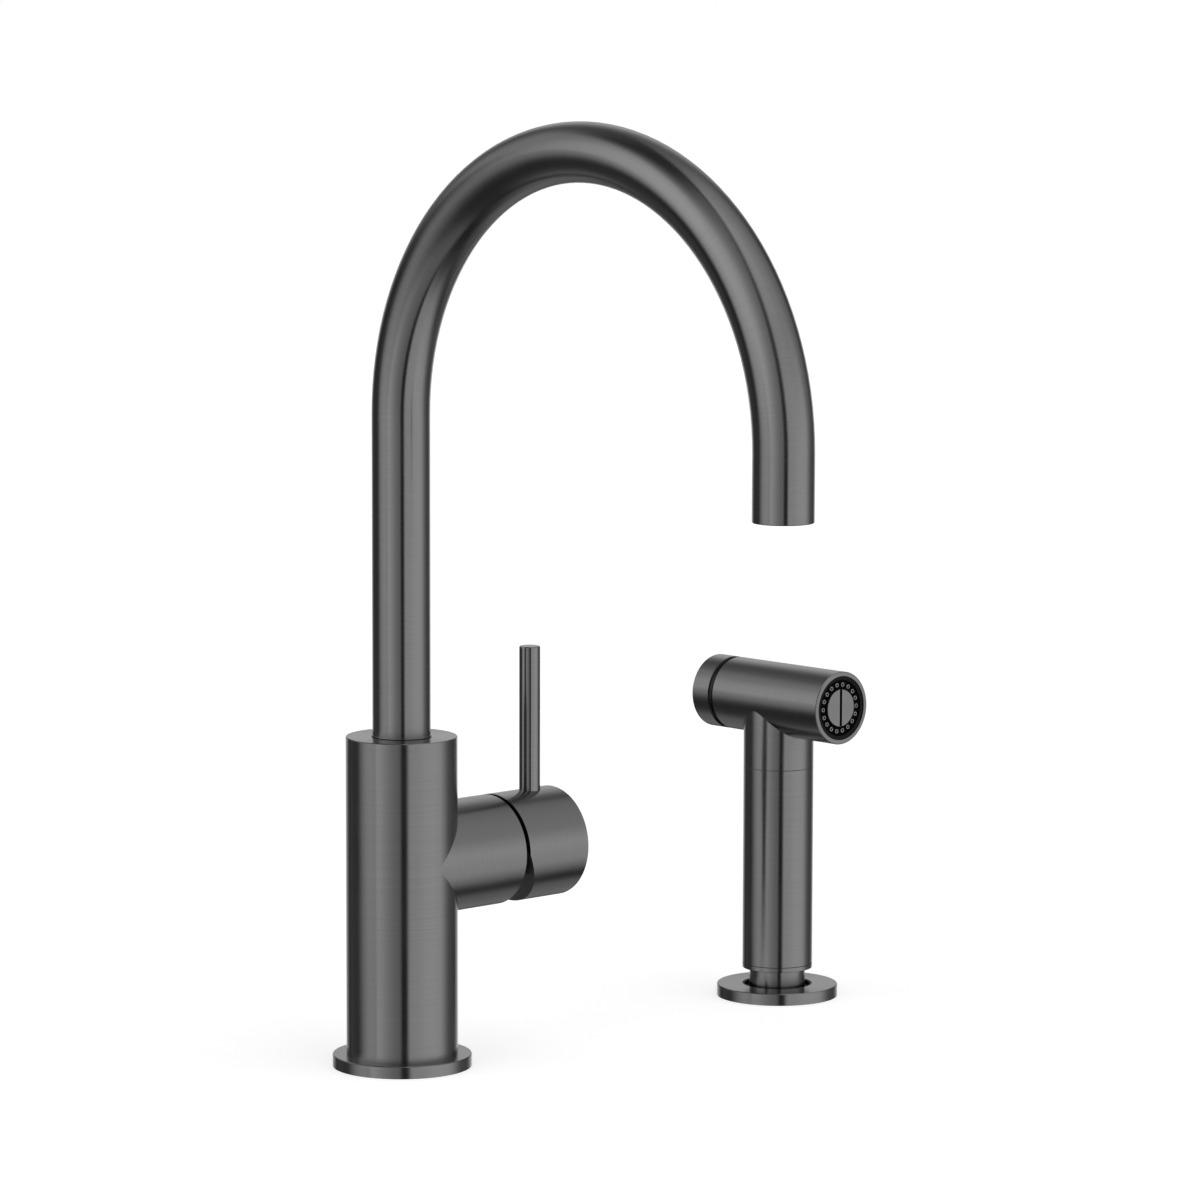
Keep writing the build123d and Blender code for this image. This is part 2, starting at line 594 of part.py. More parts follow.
with BuildPart() as handle_hub:
    rod(VALVE, HUB_X, HUB_X + HUB_L, BODY_D)
    chamfer(handle_hub.edges().group_by(Axis.X)[-1], EDGE)
    # below the valve's axis the inner face leans away, so that the lever can tilt
    lean = math.radians(WEDGE_ANGLE)
    split(bisect_by=Plane(origin=(HUB_X, 0, VALVE_Z), z_dir=(math.cos(lean), 0, math.sin(lean))))
    with BuildSketch(VALVE.offset(HUB_X)):
        Rectangle(STEM_W + 2 * SLIP, STEM_W + 2 * SLIP)
    extrude(amount=STEM_REACH + FREE, mode=Mode.SUBTRACT)
    bore(LEVER, -ROD_GRIP, ROD_GRIP, ROD_D + 2 * SLIP)
    bore(UNDER_STEM, -STEM_W / 2, HUB_SKIN, GRUB_D + 2 * SLIP)
    bore(UNDER_STEM, HUB_SKIN - CAP_T - SLIP, HUB_SKIN + SLIP, CAP_D + 2 * SLIP)

with BuildPart() as lever_rod:
    rod(LEVER, -ROD_GRIP, ROD_RISE, ROD_D)
    fillet(lever_rod.edges().group_by(Axis.Z)[-1], 2 * EDGE)

with BuildPart() as handle_grub_screw:
    rod(UNDER_STEM, 0, GRUB_L, GRUB_D)
    chamfer(handle_grub_screw.edges().group_by(Axis.Z)[-1], 2 * EDGE)
    hex_socket(UNDER_STEM, GRUB_L, GRUB_D)

with BuildPart() as grub_cover_cap:
    rod(UNDER_STEM, HUB_SKIN - CAP_T, HUB_SKIN - 2 * SLIP, CAP_D)
    rod(UNDER_STEM, GRUB_L, HUB_SKIN - CAP_T, GRUB_D - 4 * SLIP)

# ---------------------------------------------------------------------------------------------
# Spout: gooseneck on its swivel foot, and the outlet
# ---------------------------------------------------------------------------------------------

with BuildPart() as spout_tube:
    with BuildLine(Plane.YZ):
        Line((0, FOOT_TOP), (0, ARCH_Z))
        CenterArc((-ARCH_R, ARCH_Z), ARCH_R, 0, 180)
        Line((-SPOUT_REACH, ARCH_Z), (-SPOUT_REACH, SLEEVE_TOP))
    with BuildSketch(DECK.offset(FOOT_TOP)):
        Circle(SPOUT_D / 2)
        Circle(TUBE_BORE_R, mode=Mode.SUBTRACT)
    sweep()

with BuildPart() as spout_foot:
    rod(DECK, FOOT_BOTTOM, FOOT_TOP, FOOT_BORE_D - 2 * RUN)
    rod(DECK, FOOT_TOP, FOOT_TOP + LINER_L, 2 * TUBE_BORE_R - 2 * SLIP)
    bore(DECK, FOOT_BOTTOM, FOOT_TOP + LINER_L, FOOT_WAY_D)
    # grooves: one for each O-ring and a wider one for the tip of the retaining screw
    for z in O_RING_ZS:
        groove(DECK, z, O_RING_T + 2 * SLIP, FOOT_BORE_D, GROOVE_D)
    groove(DECK, SCREW_Z, SCREW_D + 2 * FREE, FOOT_BORE_D, GROOVE_D)

with BuildPart() as spout_o_rings:
    for z in O_RING_ZS:
        o_ring(DECK, z, FOOT_BORE_D)

with BuildPart() as outlet_sleeve:
    rod(OUTLET, 0, SLEEVE_L, SPOUT_D)
    chamfer(outlet_sleeve.edges().group_by(Axis.Z)[0], EDGE)
    rod(OUTLET, SLEEVE_L, SLEEVE_L + SPIGOT_L, OUTLET_BORE_D - 2 * FREE)
    bore(OUTLET, 0, SLEEVE_SHOULDER, OUTLET_BORE_D)
    bore(OUTLET, SLEEVE_SHOULDER, SLEEVE_L + SPIGOT_L, FOOT_WAY_D)

with BuildPart() as aerator_insert:
    rod(OUTLET, AERATOR_RECESS, WASHER_Z, OUTLET_BORE_D - 2 * SLIP)
    # rim round a honeycomb of jets: one in the middle, a ring of six and a ring of twelve
    bore(OUTLET, AERATOR_RECESS, AERATOR_RECESS + AERATOR_STEP, AERATOR_FACE_D)
    with BuildSketch(OUTLET.offset(AERATOR_RECESS)):
        RegularPolygon(AERATOR_CELL / 2, 6, major_radius=False, rotation=30)
        with PolarLocations(AERATOR_PITCH, 6, rotate=False):
            RegularPolygon(AERATOR_CELL / 2, 6, major_radius=False, rotation=30)
        with PolarLocations(2 * AERATOR_PITCH, 6, rotate=False):
            RegularPolygon(AERATOR_CELL / 2, 6, major_radius=False, rotation=30)
        with PolarLocations(math.sqrt(3) * AERATOR_PITCH, 6, start_angle=30, rotate=False):
            RegularPolygon(AERATOR_CELL / 2, 6, major_radius=False, rotation=30)
    extrude(amount=AERATOR_H, mode=Mode.SUBTRACT)

with BuildPart() as aerator_washer:
    rod(OUTLET, WASHER_Z, SLEEVE_SHOULDER, OUTLET_BORE_D - 2 * SLIP)
    bore(OUTLET, WASHER_Z, SLEEVE_SHOULDER, FOOT_WAY_D)

# ---------------------------------------------------------------------------------------------
# Deck holder of the side spray
# ---------------------------------------------------------------------------------------------

with BuildPart() as spray_flange:
    rod(SPRAY, 0, FLANGE_H, FLANGE_D)
    chamfer(spray_flange.edges().group_by(Axis.Z)[-1], EDGE)
    bore(SPRAY, 0, FLANGE_H, FLANGE_HOLE_D)
    bore(SPRAY, 0, COLLAR_T, COLLAR_D + 2 * SLIP)
    ring_groove(SPRAY, SPRAY_GASKET_D / 2, GASKET_W / 2, GASKET_T)

with BuildPart() as spray_gasket:
    rod(SPRAY, 0, GASKET_T, SPRAY_GASKET_D + GASKET_W / 2 - 2 * SLIP)
    bore(SPRAY, 0, GASKET_T, SPRAY_GASKET_D - GASKET_W / 2 + 2 * SLIP)

with BuildPart() as holder_shank:
    rod(SPRAY, -SHANK_L, 0, SHANK_D)
    chamfer(holder_shank.edges().group_by(Axis.Z)[0], 3 * EDGE)
    rod(SPRAY, 0, COLLAR_T, COLLAR_D)
    bore(SPRAY, -SHANK_L, COLLAR_T, SHANK_BORE_D)

with BuildPart() as holder_liner:
    rod(SPRAY, -LINER_DEPTH, COLLAR_T, LINER_D)
    rod(SPRAY, COLLAR_T, LINER_RIM_Z, LINER_RIM_D)
    # dark well round the neck, with a thin rim up the flange's hole
    bore(SPRAY, COLLAR_T + LINER_LIP_T, LINER_RIM_Z, LINER_RIM_D - 2 * LINER_WALL)
    bore(SPRAY, -LEDGE_DEPTH, COLLAR_T + LINER_LIP_T, LINER_BORE_D)
    bore(SPRAY, -LINER_DEPTH, -LEDGE_DEPTH, LEDGE_BORE_D)

with BuildPart() as holder_rubber_washer:
    rod(SPRAY, CLAMP_Z - WASHER_T, CLAMP_Z, NUT_WASHER_D)
    bore(SPRAY, CLAMP_Z - WASHER_T, CLAMP_Z, SHANK_D + 2 * FREE)

with BuildPart() as holder_metal_washer:
    rod(SPRAY, HOLDER_NUT_TOP, CLAMP_Z - WASHER_T, NUT_WASHER_D)
    bore(SPRAY, HOLDER_NUT_TOP, CLAMP_Z - WASHER_T, SHANK_D + 2 * FREE)

with BuildPart() as holder_nut:
    with BuildSketch(SPRAY.offset(HOLDER_NUT_TOP - HOLDER_NUT_H)):
        RegularPolygon(HOLDER_NUT_AF / 2, 6, major_radius=False)
        Circle(SHANK_D / 2 + SLIP, mode=Mode.SUBTRACT)
    extrude(amount=HOLDER_NUT_H)

# ---------------------------------------------------------------------------------------------
# Handset: neck that stands in the holder, and the grip that swivels on it
# ---------------------------------------------------------------------------------------------

with BuildPart() as hose_neck:
    rod(SPRAY, NECK_BOTTOM, -LEDGE_DEPTH, NECK_END_D)
    rod(SPRAY, -LEDGE_DEPTH, NECK_SHOULDER, NECK_D)
    rod(SPRAY, NECK_SHOULDER, NECK_TOP, 2 * GRIP_BORE_R - 2 * RUN)
    rod(SPRAY, NECK_TOP, PLUG_TOP, PLUG_D)
    chamfer(hose_neck.edges().group_by(Axis.Z)[-1], EDGE)
    groove(SPRAY, NECK_O_RING_Z, O_RING_T + 2 * SLIP, PLUG_D, O_GROOVE_D)
    # hose thread, pocket of the check valve and the way up
    bore(SPRAY, NECK_BOTTOM, SOCKET_TOP, HOSE_SOCKET_D)
    bore(SPRAY, SOCKET_TOP, SOCKET_TOP + CHECK_VALVE_L, CHECK_VALVE_D + 2 * SLIP)
    bore(SPRAY, SOCKET_TOP, PLUG_TOP, NECK_WAY_D)

with BuildPart() as neck_collar:
    rod(SPRAY, COLLAR_Z, NECK_SHOULDER, GRIP_D)
    chamfer(neck_collar.edges().filter_by(GeomType.CIRCLE), EDGE / 2)
    bore(SPRAY, COLLAR_Z, NECK_SHOULDER, NECK_D + SLIP)

with BuildPart() as neck_o_ring:
    o_ring(SPRAY, NECK_O_RING_Z, PLUG_D + 2 * SLIP)

with BuildPart() as check_valve:
    rod(SPRAY, SOCKET_TOP, SOCKET_TOP + CHECK_VALVE_L, CHECK_VALVE_D)
    bore(SPRAY, SOCKET_TOP, SOCKET_TOP + CHECK_VALVE_L, CHECK_VALVE_D - 2 * CHECK_VALVE_WALL)
    # spider that carries the poppet
    with BuildSketch(SPRAY.offset(SOCKET_TOP + CHECK_VALVE_L / 3)):
        Rectangle(CHECK_VALVE_D - CHECK_VALVE_WALL, SPIDER_W)
        Rectangle(SPIDER_W, CHECK_VALVE_D - CHECK_VALVE_WALL)
        Circle(POPPET_D / 2)
    extrude(amount=CHECK_VALVE_L / 3)

with BuildPart() as grip_tube:
    rod(SPRAY, NECK_SHOULDER, GRIP_TOP, GRIP_D)
    chamfer(grip_tube.edges().filter_by(GeomType.CIRCLE), EDGE / 2)
    bore(SPRAY, NECK_SHOULDER, GRIP_TOP, 2 * GRIP_BORE_R)

with BuildPart() as grip_core:
    rod(SPRAY, CORE_BOTTOM, CORE_TOP, CORE_D)
    # disc that centres the core at the foot of the grip
    rod(SPRAY, CORE_BOTTOM, CORE_BOTTOM + CORE_FLANGE_T, 2 * GRIP_BORE_R - 2 * SLIP)
    bore(SPRAY, CORE_BOTTOM, PLUG_TOP + FREE, PLUG_D + 2 * SLIP)
    bore(SPRAY, PLUG_TOP + FREE, CORE_TOP, CORE_WAY_D)

# ---------------------------------------------------------------------------------------------
# Handset head: shell, shut-off valve and push button
# ---------------------------------------------------------------------------------------------

with BuildPart() as handset_head:
    rod(HEAD, -HEAD_REAR, HEAD_FRONT, HEAD_D)
    chamfer(handset_head.edges().filter_by(GeomType.CIRCLE), EDGE)
    rod(SPRAY, GRIP_TOP, HEAD_Z, GRIP_D)
    chamfer(handset_head.edges().group_by(Axis.Z)[0], EDGE / 2)
    rod(SPRAY, GRIP_TOP - HEAD_SPIGOT_L, GRIP_TOP, 2 * GRIP_BORE_R - 2 * SLIP)
    bore(SPRAY, GRIP_TOP - HEAD_SPIGOT_L, HEAD_Z, STUB_BORE_D)
    bore(HEAD, -HEAD_REAR, HEAD_FRONT, HEAD_BORE_D)

with BuildPart() as valve_body:
    rod(HEAD, -CORE_REAR, CORE_FRONT, HEAD_BORE_D - 2 * SLIP)
    # socket of the grip core, and the way up into the chamber
    bore(SPRAY, GRIP_TOP, CORE_TOP, CORE_D + 2 * SLIP)
    bore(SPRAY, CORE_TOP, HEAD_Z, RISER_D)
    # chamber, seat, plenum behind the face, and the stem's guide
    bore(HEAD, -CHAMBER_REAR, SEAT_FRONT - SEAT_T, VALVE_CHAMBER_D)
    bore(HEAD, SEAT_FRONT - SEAT_T, SEAT_FRONT, SEAT_D)
    bore(HEAD, SEAT_FRONT, CORE_FRONT, PLENUM_D)
    bore(HEAD, -CORE_REAR, -CHAMBER_REAR, STEM_D + 2 * RUN)

with BuildPart() as valve_stem:
    rod(HEAD, -CAP_FLOOR, SEAT_FRONT + VALVE_SEAL_T, STEM_D)
    rod(HEAD, SEAT_FRONT + VALVE_SEAL_T, SEAT_FRONT + VALVE_SEAL_T + STEM_HEAD_T, STEM_HEAD_D)

with BuildPart() as valve_seal:
    rod(HEAD, SEAT_FRONT, SEAT_FRONT + VALVE_SEAL_T, SEAL_D)
    bore(HEAD, SEAT_FRONT, SEAT_FRONT + VALVE_SEAL_T, STEM_D + SLIP)

with BuildPart() as return_spring:
    with BuildLine():
        coil = Helix(
            (SPRING_L - SPRING_WIRE) / SPRING_TURNS,
            SPRING_L - SPRING_WIRE,
            SPRING_D / 2,
            center=(SPRAY_X, CAP_FRONT - SPRING_WIRE / 2, HEAD_Z),
            direction=(0, -1, 0),
        )
    with BuildSketch(Plane(origin=coil @ 0, z_dir=coil % 0)):
        RegularPolygon(SPRING_WIRE / 2, 6)
    sweep(is_frenet=True)

with BuildPart() as button_boot:
    rod(HEAD, -CAP_FRONT, -HEAD_REAR, BOOT_D)
    bore(HEAD, -CAP_FRONT, -HEAD_REAR, BOOT_D - 2 * BOOT_T)

with BuildPart() as push_button:
    rod(HEAD, -CAP_REAR, -CAP_FRONT, HEAD_D)
    chamfer(push_button.edges().group_by(Axis.Y)[-1], 2 * EDGE)
    bore(HEAD, -CAP_FLOOR, -CAP_FRONT, HEAD_D - 2 * CAP_WALL)
    rod(HEAD, -CAP_FLOOR, -CAP_FRONT, BOSS_D)
    bore(HEAD, -CAP_FLOOR, -CAP_FRONT, STEM_D + SLIP)

# ---------------------------------------------------------------------------------------------
# Spray face: black plate, a ring of nozzles and the slotted disc
# ---------------------------------------------------------------------------------------------

with BuildPart() as spray_face:
    rod(HEAD, CORE_FRONT, HEAD_FRONT - RIM_DEPTH, FACE_D)
    bore(HEAD, FACE_PLATE, HEAD_FRONT, FACE_D - 2 * FACE_RING_W)
    bore(HEAD, DISC_BACK, FACE_PLATE, DISC_D + 2 * SLIP)
    bore(HEAD, CORE_FRONT, DISC_BACK, DISC_SHANK_D + 2 * SLIP)
    with BuildSketch(HEAD.offset(CORE_FRONT)):
        with PolarLocations(NOZZLE_RING_R, NOZZLE_COUNT):
            RegularPolygon(NOZZLE_D / 2, 12)
    extrude(amount=HEAD_FRONT - CORE_FRONT, mode=Mode.SUBTRACT)

with BuildPart() as spray_nozzles:
    with BuildSketch(HEAD.offset(CORE_FRONT)):
        with PolarLocations(NOZZLE_RING_R, NOZZLE_COUNT):
            RegularPolygon(NOZZLE_D / 2, 12)
            RegularPolygon(NOZZLE_BORE_D / 2, 6, mode=Mode.SUBTRACT)
    extrude(amount=FACE_PLATE + NOZZLE_RISE - CORE_FRONT)

with BuildPart() as face_disc:
    rod(HEAD, DISC_BACK, DISC_BACK + DISC_T, DISC_D)
    chamfer(face_disc.edges().group_by(Axis.Y)[0], EDGE / 2)
    rod(HEAD, CORE_FRONT, DISC_BACK, DISC_SHANK_D)
    with BuildSketch(HEAD.offset(DISC_BACK + DISC_T)):
        Rectangle(DISC_SLOT_W, DISC_D)
    extrude(amount=-DISC_SLOT_DEPTH, mode=Mode.SUBTRACT)

# ---------------------------------------------------------------------------------------------
# One file for each piece
# ---------------------------------------------------------------------------------------------

PIECES = {
    "base_flange": base_flange,
    "base_gasket": base_gasket,
    "body_shell": body_shell,
    "spout_guide_ring": spout_guide_ring,
    "spout_set_screw": spout_set_screw,
    "mounting_stud": mounting_stud,
    "horseshoe_washer": horseshoe_washer,
    "clamp_plate": clamp_plate,
    "stud_nut": stud_nut,
    "diverter_housing": diverter_housing,
    "diverter_plunger": diverter_plunger,
    "cartridge_base": cartridge_base,
    "cartridge_port_seals": cartridge_port_seals,
    "ceramic_disc_fixed": ceramic_disc_fixed,
    "ceramic_disc_moving": ceramic_disc_moving,
    "disc_carrier": disc_carrier,
    "cartridge_housing": cartridge_housing,
    "valve_turret": valve_turret,
    "turret_pivot_pin": turret_pivot_pin,
    "cartridge_stem": cartridge_stem,
    "cartridge_nut": cartridge_nut,
    "handle_hub": handle_hub,
    "lever_rod": lever_rod,
    "handle_grub_screw": handle_grub_screw,
    "grub_cover_cap": grub_cover_cap,
    "spout_tube": spout_tube,
    "spout_foot": spout_foot,
    "spout_o_rings": spout_o_rings,
    "outlet_sleeve": outlet_sleeve,
    "aerator_insert": aerator_insert,
    "aerator_washer": aerator_washer,
    "spray_flange": spray_flange,
    "spray_gasket": spray_gasket,
    "holder_shank": holder_shank,
    "holder_liner": holder_liner,
    "holder_rubber_washer": holder_rubber_washer,
    "holder_metal_washer": holder_metal_washer,
    "holder_nut": holder_nut,
    "hose_neck": hose_neck,
    "neck_collar": neck_collar,
    "neck_o_ring": neck_o_ring,
    "check_valve": check_valve,
    "grip_tube": grip_tube,
    "grip_core": grip_core,
    "handset_head": handset_head,
    "valve_body": valve_body,
    "valve_stem": valve_stem,
    "valve_seal": valve_seal,
    "return_spring": return_spring,
    "button_boot": button_boot,
    "push_button": push_button,
    "spray_face": spray_face,
    "spray_nozzles": spray_nozzles,
    "face_disc": face_disc,
}

for name, piece in PIECES.items():
    piece.part.label = name
    export_step(piece.part, f"parts/{name}.step")
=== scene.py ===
"""Kitchen mixer with a side spray in brushed gunmetal: its finishes, fine pieces, studio and camera."""

import json
import math

import bpy
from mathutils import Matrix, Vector


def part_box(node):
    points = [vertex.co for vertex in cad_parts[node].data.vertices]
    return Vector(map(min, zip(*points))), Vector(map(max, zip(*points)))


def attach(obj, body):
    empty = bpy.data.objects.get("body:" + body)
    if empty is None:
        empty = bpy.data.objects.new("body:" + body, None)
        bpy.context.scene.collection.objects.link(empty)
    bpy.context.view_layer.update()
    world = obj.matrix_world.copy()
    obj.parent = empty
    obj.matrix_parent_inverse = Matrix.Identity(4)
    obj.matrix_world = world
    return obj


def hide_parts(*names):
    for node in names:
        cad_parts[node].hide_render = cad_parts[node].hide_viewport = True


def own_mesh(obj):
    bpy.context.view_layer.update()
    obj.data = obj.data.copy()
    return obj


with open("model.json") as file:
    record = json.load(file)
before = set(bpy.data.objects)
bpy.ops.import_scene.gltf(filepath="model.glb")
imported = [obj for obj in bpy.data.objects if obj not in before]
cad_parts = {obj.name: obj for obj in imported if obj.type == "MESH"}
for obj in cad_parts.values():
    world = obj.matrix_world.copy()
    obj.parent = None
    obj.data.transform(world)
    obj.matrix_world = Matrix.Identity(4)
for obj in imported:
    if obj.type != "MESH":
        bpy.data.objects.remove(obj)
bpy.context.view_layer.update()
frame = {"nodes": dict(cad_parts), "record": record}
bpy.ops.object.select_all(action="DESELECT")

MM = 0.001

# Ways that the pieces' axes point
UP = Vector((0, 0, 1))
ACROSS = Vector((1, 0, 0))
FORWARD = Vector((0, -1, 0))

# A point on each axis
COLUMN = Vector((0, 0, 0))
VALVE = Vector((0, 0, 88.2)) * MM
LEVER = Vector((74.2, 0, 0)) * MM
SPRAY = Vector((228.2, 0, 0)) * MM
HEAD = Vector((228.2, 0, 136.9)) * MM
ARCH = Vector((0, -114.6, 281.5)) * MM
STUD = Vector((-8.485, -8.485, 0)) * MM

COLUMN_R = 24 * MM
HEAD_R = 16.55 * MM
ARCH_R = 114.6 * MM
BELOW_DECK = 1 * MM  # what lies wholly lower than this is out of sight, under the deck or what stands on it

# ---------------------------------------------------------------------------------------------
# Camera
# ---------------------------------------------------------------------------------------------

VIEW_FROM = (-1.53101, -1.75335, 0.49754)
VIEW_TURN = -0.7539  # radians round the mixer, from straight in front
VIEW_DROP = 0.1264  # radians below level
VIEW_ROLL = -0.0023
FILM_WIDTH = 36  # millimetres, as is the lens
LENS = 165.08

bpy.ops.object.camera_add(location=VIEW_FROM, rotation=(math.pi / 2 - VIEW_DROP, VIEW_ROLL, VIEW_TURN))
camera = bpy.context.object
camera.name = "camera"
camera.data.sensor_width = FILM_WIDTH
camera.data.lens = LENS
bpy.context.scene.camera = camera
bpy.context.scene.view_settings.view_transform = "Standard"

# ---------------------------------------------------------------------------------------------
# Nodes and colours
# ---------------------------------------------------------------------------------------------

WHITE = (1, 1, 1, 1)


def srgb(code):
    """Linear RGBA of an sRGB hex colour."""
    parts = [int(code[i : i + 2], 16) / 255 for i in (1, 3, 5)]
    return [c / 12.92 if c <= 0.04045 else ((c + 0.055) / 1.055) ** 2.4 for c in parts] + [1]


def add(tree, kind, settings=None, sockets=None):
    """Adds a shader node. Settings go on the node itself, and sockets get values or other nodes' outputs."""
    made = tree.nodes.new("ShaderNode" + kind)
    for name, value in (settings or {}).items():
        setattr(made, name, value)
    for name, value in (sockets or {}).items():
        if isinstance(value, bpy.types.NodeSocket):
            tree.links.new(value, made.inputs[name])
        else:
            made.inputs[name].default_value = value
    return made


def material(name):
    """An empty material and its node tree."""
    made = bpy.data.materials.new(name)
    made.use_nodes = True
    made.node_tree.nodes.clear()
    return made, made.node_tree


def finish(tree, sockets):
    """Closes a material with one Principled shader."""
    shader = add(tree, "BsdfPrincipled", None, sockets)
    add(tree, "OutputMaterial", None, {"Surface": shader.outputs["BSDF"]})


def seen(tree):
    """1 for what the camera sees, straight or through glass, and 0 for what is mirrored or gives light."""
    rays = add(tree, "LightPath").outputs
    either = {0: rays["Is Camera Ray"], 1: rays["Is Transmission Ray"]}
    return add(tree, "Math", {"operation": "MAXIMUM"}, either).outputs[0]


# ---------------------------------------------------------------------------------------------
# Studio: white deck
# ---------------------------------------------------------------------------------------------

DECK_WIDTH = 6
DECK_DROP = 0.05 * MM  # just clear of the undersides that rest on the deck
PAPER_GLOW = 0.62  # what the camera sees besides the light that falls on the paper

bpy.ops.mesh.primitive_plane_add(size=DECK_WIDTH, location=(0, 0, -DECK_DROP))
deck = bpy.context.object
deck.name = "deck"
# the metal above it mirrors the tent alone, and no floor
deck.visible_glossy = False

# matt paper, a little brighter to the camera than it is lit, so that it is white and keeps soft shadows
white_deck, tree = material("white_paper_matt")
paper = add(tree, "BsdfDiffuse", None, {"Color": srgb("#E6E6E6")})
glow = add(tree, "Emission", None, {"Color": WHITE, "Strength": PAPER_GLOW})
dark = add(tree, "Emission", None, {"Strength": 0.0})
shown = add(tree, "MixShader", None, {0: seen(tree), 1: dark.outputs[0], 2: glow.outputs[0]})
both = add(tree, "AddShader", None, {0: paper.outputs[0], 1: shown.outputs[0]})
add(tree, "OutputMaterial", None, {"Surface": both.outputs[0]})
deck.data.materials.append(white_deck)

# ---------------------------------------------------------------------------------------------
# Studio: tent of soft panels round the object, with a white backdrop
# ---------------------------------------------------------------------------------------------

TENT_GLOW = 0.02  # light between the panels
RIGHT_SLANT = (-0.8, -121.5, 14)  # lower edge of the right wall, as trimmed takes it
LEFT_SLANT = (0.92, -90, 13)  # and of the left soft box
PAST_ALL = 400  # more degrees than any angle or slant has

world = bpy.data.worlds.new("light_tent")
bpy.context.scene.world = world
world.use_nodes = True
tent = world.node_tree
tent.nodes.clear()

# degrees round the object from the picture's viewpoint, positive to its right, and degrees above the horizon
way = add(tent, "TexCoord").outputs["Generated"]
to_right = {0: way, 1: (math.cos(VIEW_TURN), math.sin(VIEW_TURN), 0)}
to_viewer = {0: way, 1: (math.sin(VIEW_TURN), -math.cos(VIEW_TURN), 0)}
right = add(tent, "VectorMath", {"operation": "DOT_PRODUCT"}, to_right).outputs["Value"]
near = add(tent, "VectorMath", {"operation": "DOT_PRODUCT"}, to_viewer).outputs["Value"]
turn = add(tent, "Math", {"operation": "ARCTAN2"}, {0: right, 1: near}).outputs[0]
turn = add(tent, "Math", {"operation": "DEGREES"}, {0: turn}).outputs[0]
behind = add(tent, "Math", {"operation": "ABSOLUTE"}, {0: turn}).outputs[0]
height = add(tent, "SeparateXYZ", None, {0: way}).outputs["Z"]
rise = add(tent, "Math", {"operation": "ARCSINE"}, {0: height}).outputs[0]
rise = add(tent, "Math", {"operation": "DEGREES"}, {0: rise}).outputs[0]


def between(angle, span, soft):
    """1 where the angle is in the span, falling off within so many degrees of its start and of its end."""
    start, end = span
    first, last = soft
    smoothly = {"interpolation_type": "SMOOTHSTEP"}
    into = {"Value": angle, "From Min": start - first, "From Max": start + first}
    risen = add(tent, "MapRange", smoothly, into).outputs[0]
    out_of = {"Value": angle, "From Min": end - last, "From Max": end + last, "To Min": risen, "To Max": 0}
    return add(tent, "MapRange", smoothly, out_of).outputs[0]


def panel(angle, sides, soft_sides, edges, soft_edges, level):
    """Light of one panel of the tent, between two sides round the object and two edges above the horizon."""
    both_ways = {0: between(angle, sides, soft_sides), 1: between(rise, edges, soft_edges)}
    shape = add(tent, "Math", {"operation": "MULTIPLY"}, both_ways).outputs[0]
    return add(tent, "Math", {"operation": "MULTIPLY"}, {0: shape, 1: level}).outputs[0]


def trimmed(lit, lean, start, soft):
    """A panel cut off aslant below: its light starts where the angle above the horizon, plus lean times the
    angle round the object, passes start."""
    slant = add(tent, "Math", {"operation": "MULTIPLY_ADD"}, {0: turn, 1: lean, 2: rise}).outputs[0]
    kept = between(slant, (start, PAST_ALL), (soft, soft))
    return add(tent, "Math", {"operation": "MULTIPLY"}, {0: lit, 1: kept}).outputs[0]


panels = [
    # right wall, close up to the viewpoint, with a brighter middle, and its upper part
    trimmed(panel(turn, (14.5, 100), (2.8, 19), (-60, 11), (7, 21), 0.84), *RIGHT_SLANT),
    trimmed(panel(turn, (44, 76), (14, 8), (-36, 3), (6, 19), 0.17), *RIGHT_SLANT),
    panel(turn, (15.2, 82), (3.7, 34), (6, 100), (16, 12), 0.62),
    # its far end, above and below the horizon
    panel(turn, (75, 130), (19, 13), (-7, 42), (14, 25), 0.36),
    panel(turn, (80, 174), (10, 8), (-28, -13), (4, 9), 0.17),
    # roof on the right and at the back
    panel(turn, (9, 147), (24, 9), (37, 100), (32, 8), 0.34),
    panel(turn, (83, 200), (15, 10), (49, 100), (34, 12), 0.35),
    panel(turn, (-200, -171), (10, 9), (49, 100), (34, 12), 0.35),
    # left wall beside the viewpoint, and its farther part
    panel(turn, (-52, 0), (1.5, 1.8), (-84, 81), (10, 9), 0.38),
    panel(turn, (-71, 2.6), (18, 2.8), (3, 62), (14, 18), 0.11),
    # left soft box, cut off aslant below, with a bright middle, a far end and a weak lower part
    trimmed(panel(turn, (-99, -36), (10, 34), (-27, 49), (31, 22), 0.92), *LEFT_SLANT),
    panel(turn, (-110, -55), (8, 6), (6, 48), (3, 4), 0.27),
    panel(turn, (-131, -110), (32, 13), (13, 46), (5, 6), 0.89),
    panel(turn, (-168, -124), (10, 14), (32, 64), (3, 6), 0.13),
    panel(turn, (-132, -104), (2, 28), (-60, -5), (11, 10), 0.13),
    # white backdrop, its upper part, and the deck behind the object
    panel(behind, (153, 200), (23, 14), (-14, 6), (12, 17), 1.35),
    panel(behind, (161, 200), (14, 14), (14, 38), (6, 14), 0.80),
    panel(behind, (124, 200), (10, 14), (-63, -30), (15, 7), 0.35),
]
light = TENT_GLOW
for lit in panels:
    light = add(tent, "Math", {"operation": "ADD"}, {0: light, 1: lit}).outputs[0]
# the camera sees white paper all round, and the object the tent's light
level = add(tent, "Mix", {"data_type": "FLOAT"}, {0: seen(tent), 2: light, 3: 1.0}).outputs[0]
sky = add(tent, "Background", None, {"Color": WHITE, "Strength": level})
add(tent, "OutputWorld", None, {"Surface": sky.outputs[0]})

# ---------------------------------------------------------------------------------------------
# Brushed gunmetal
# ---------------------------------------------------------------------------------------------

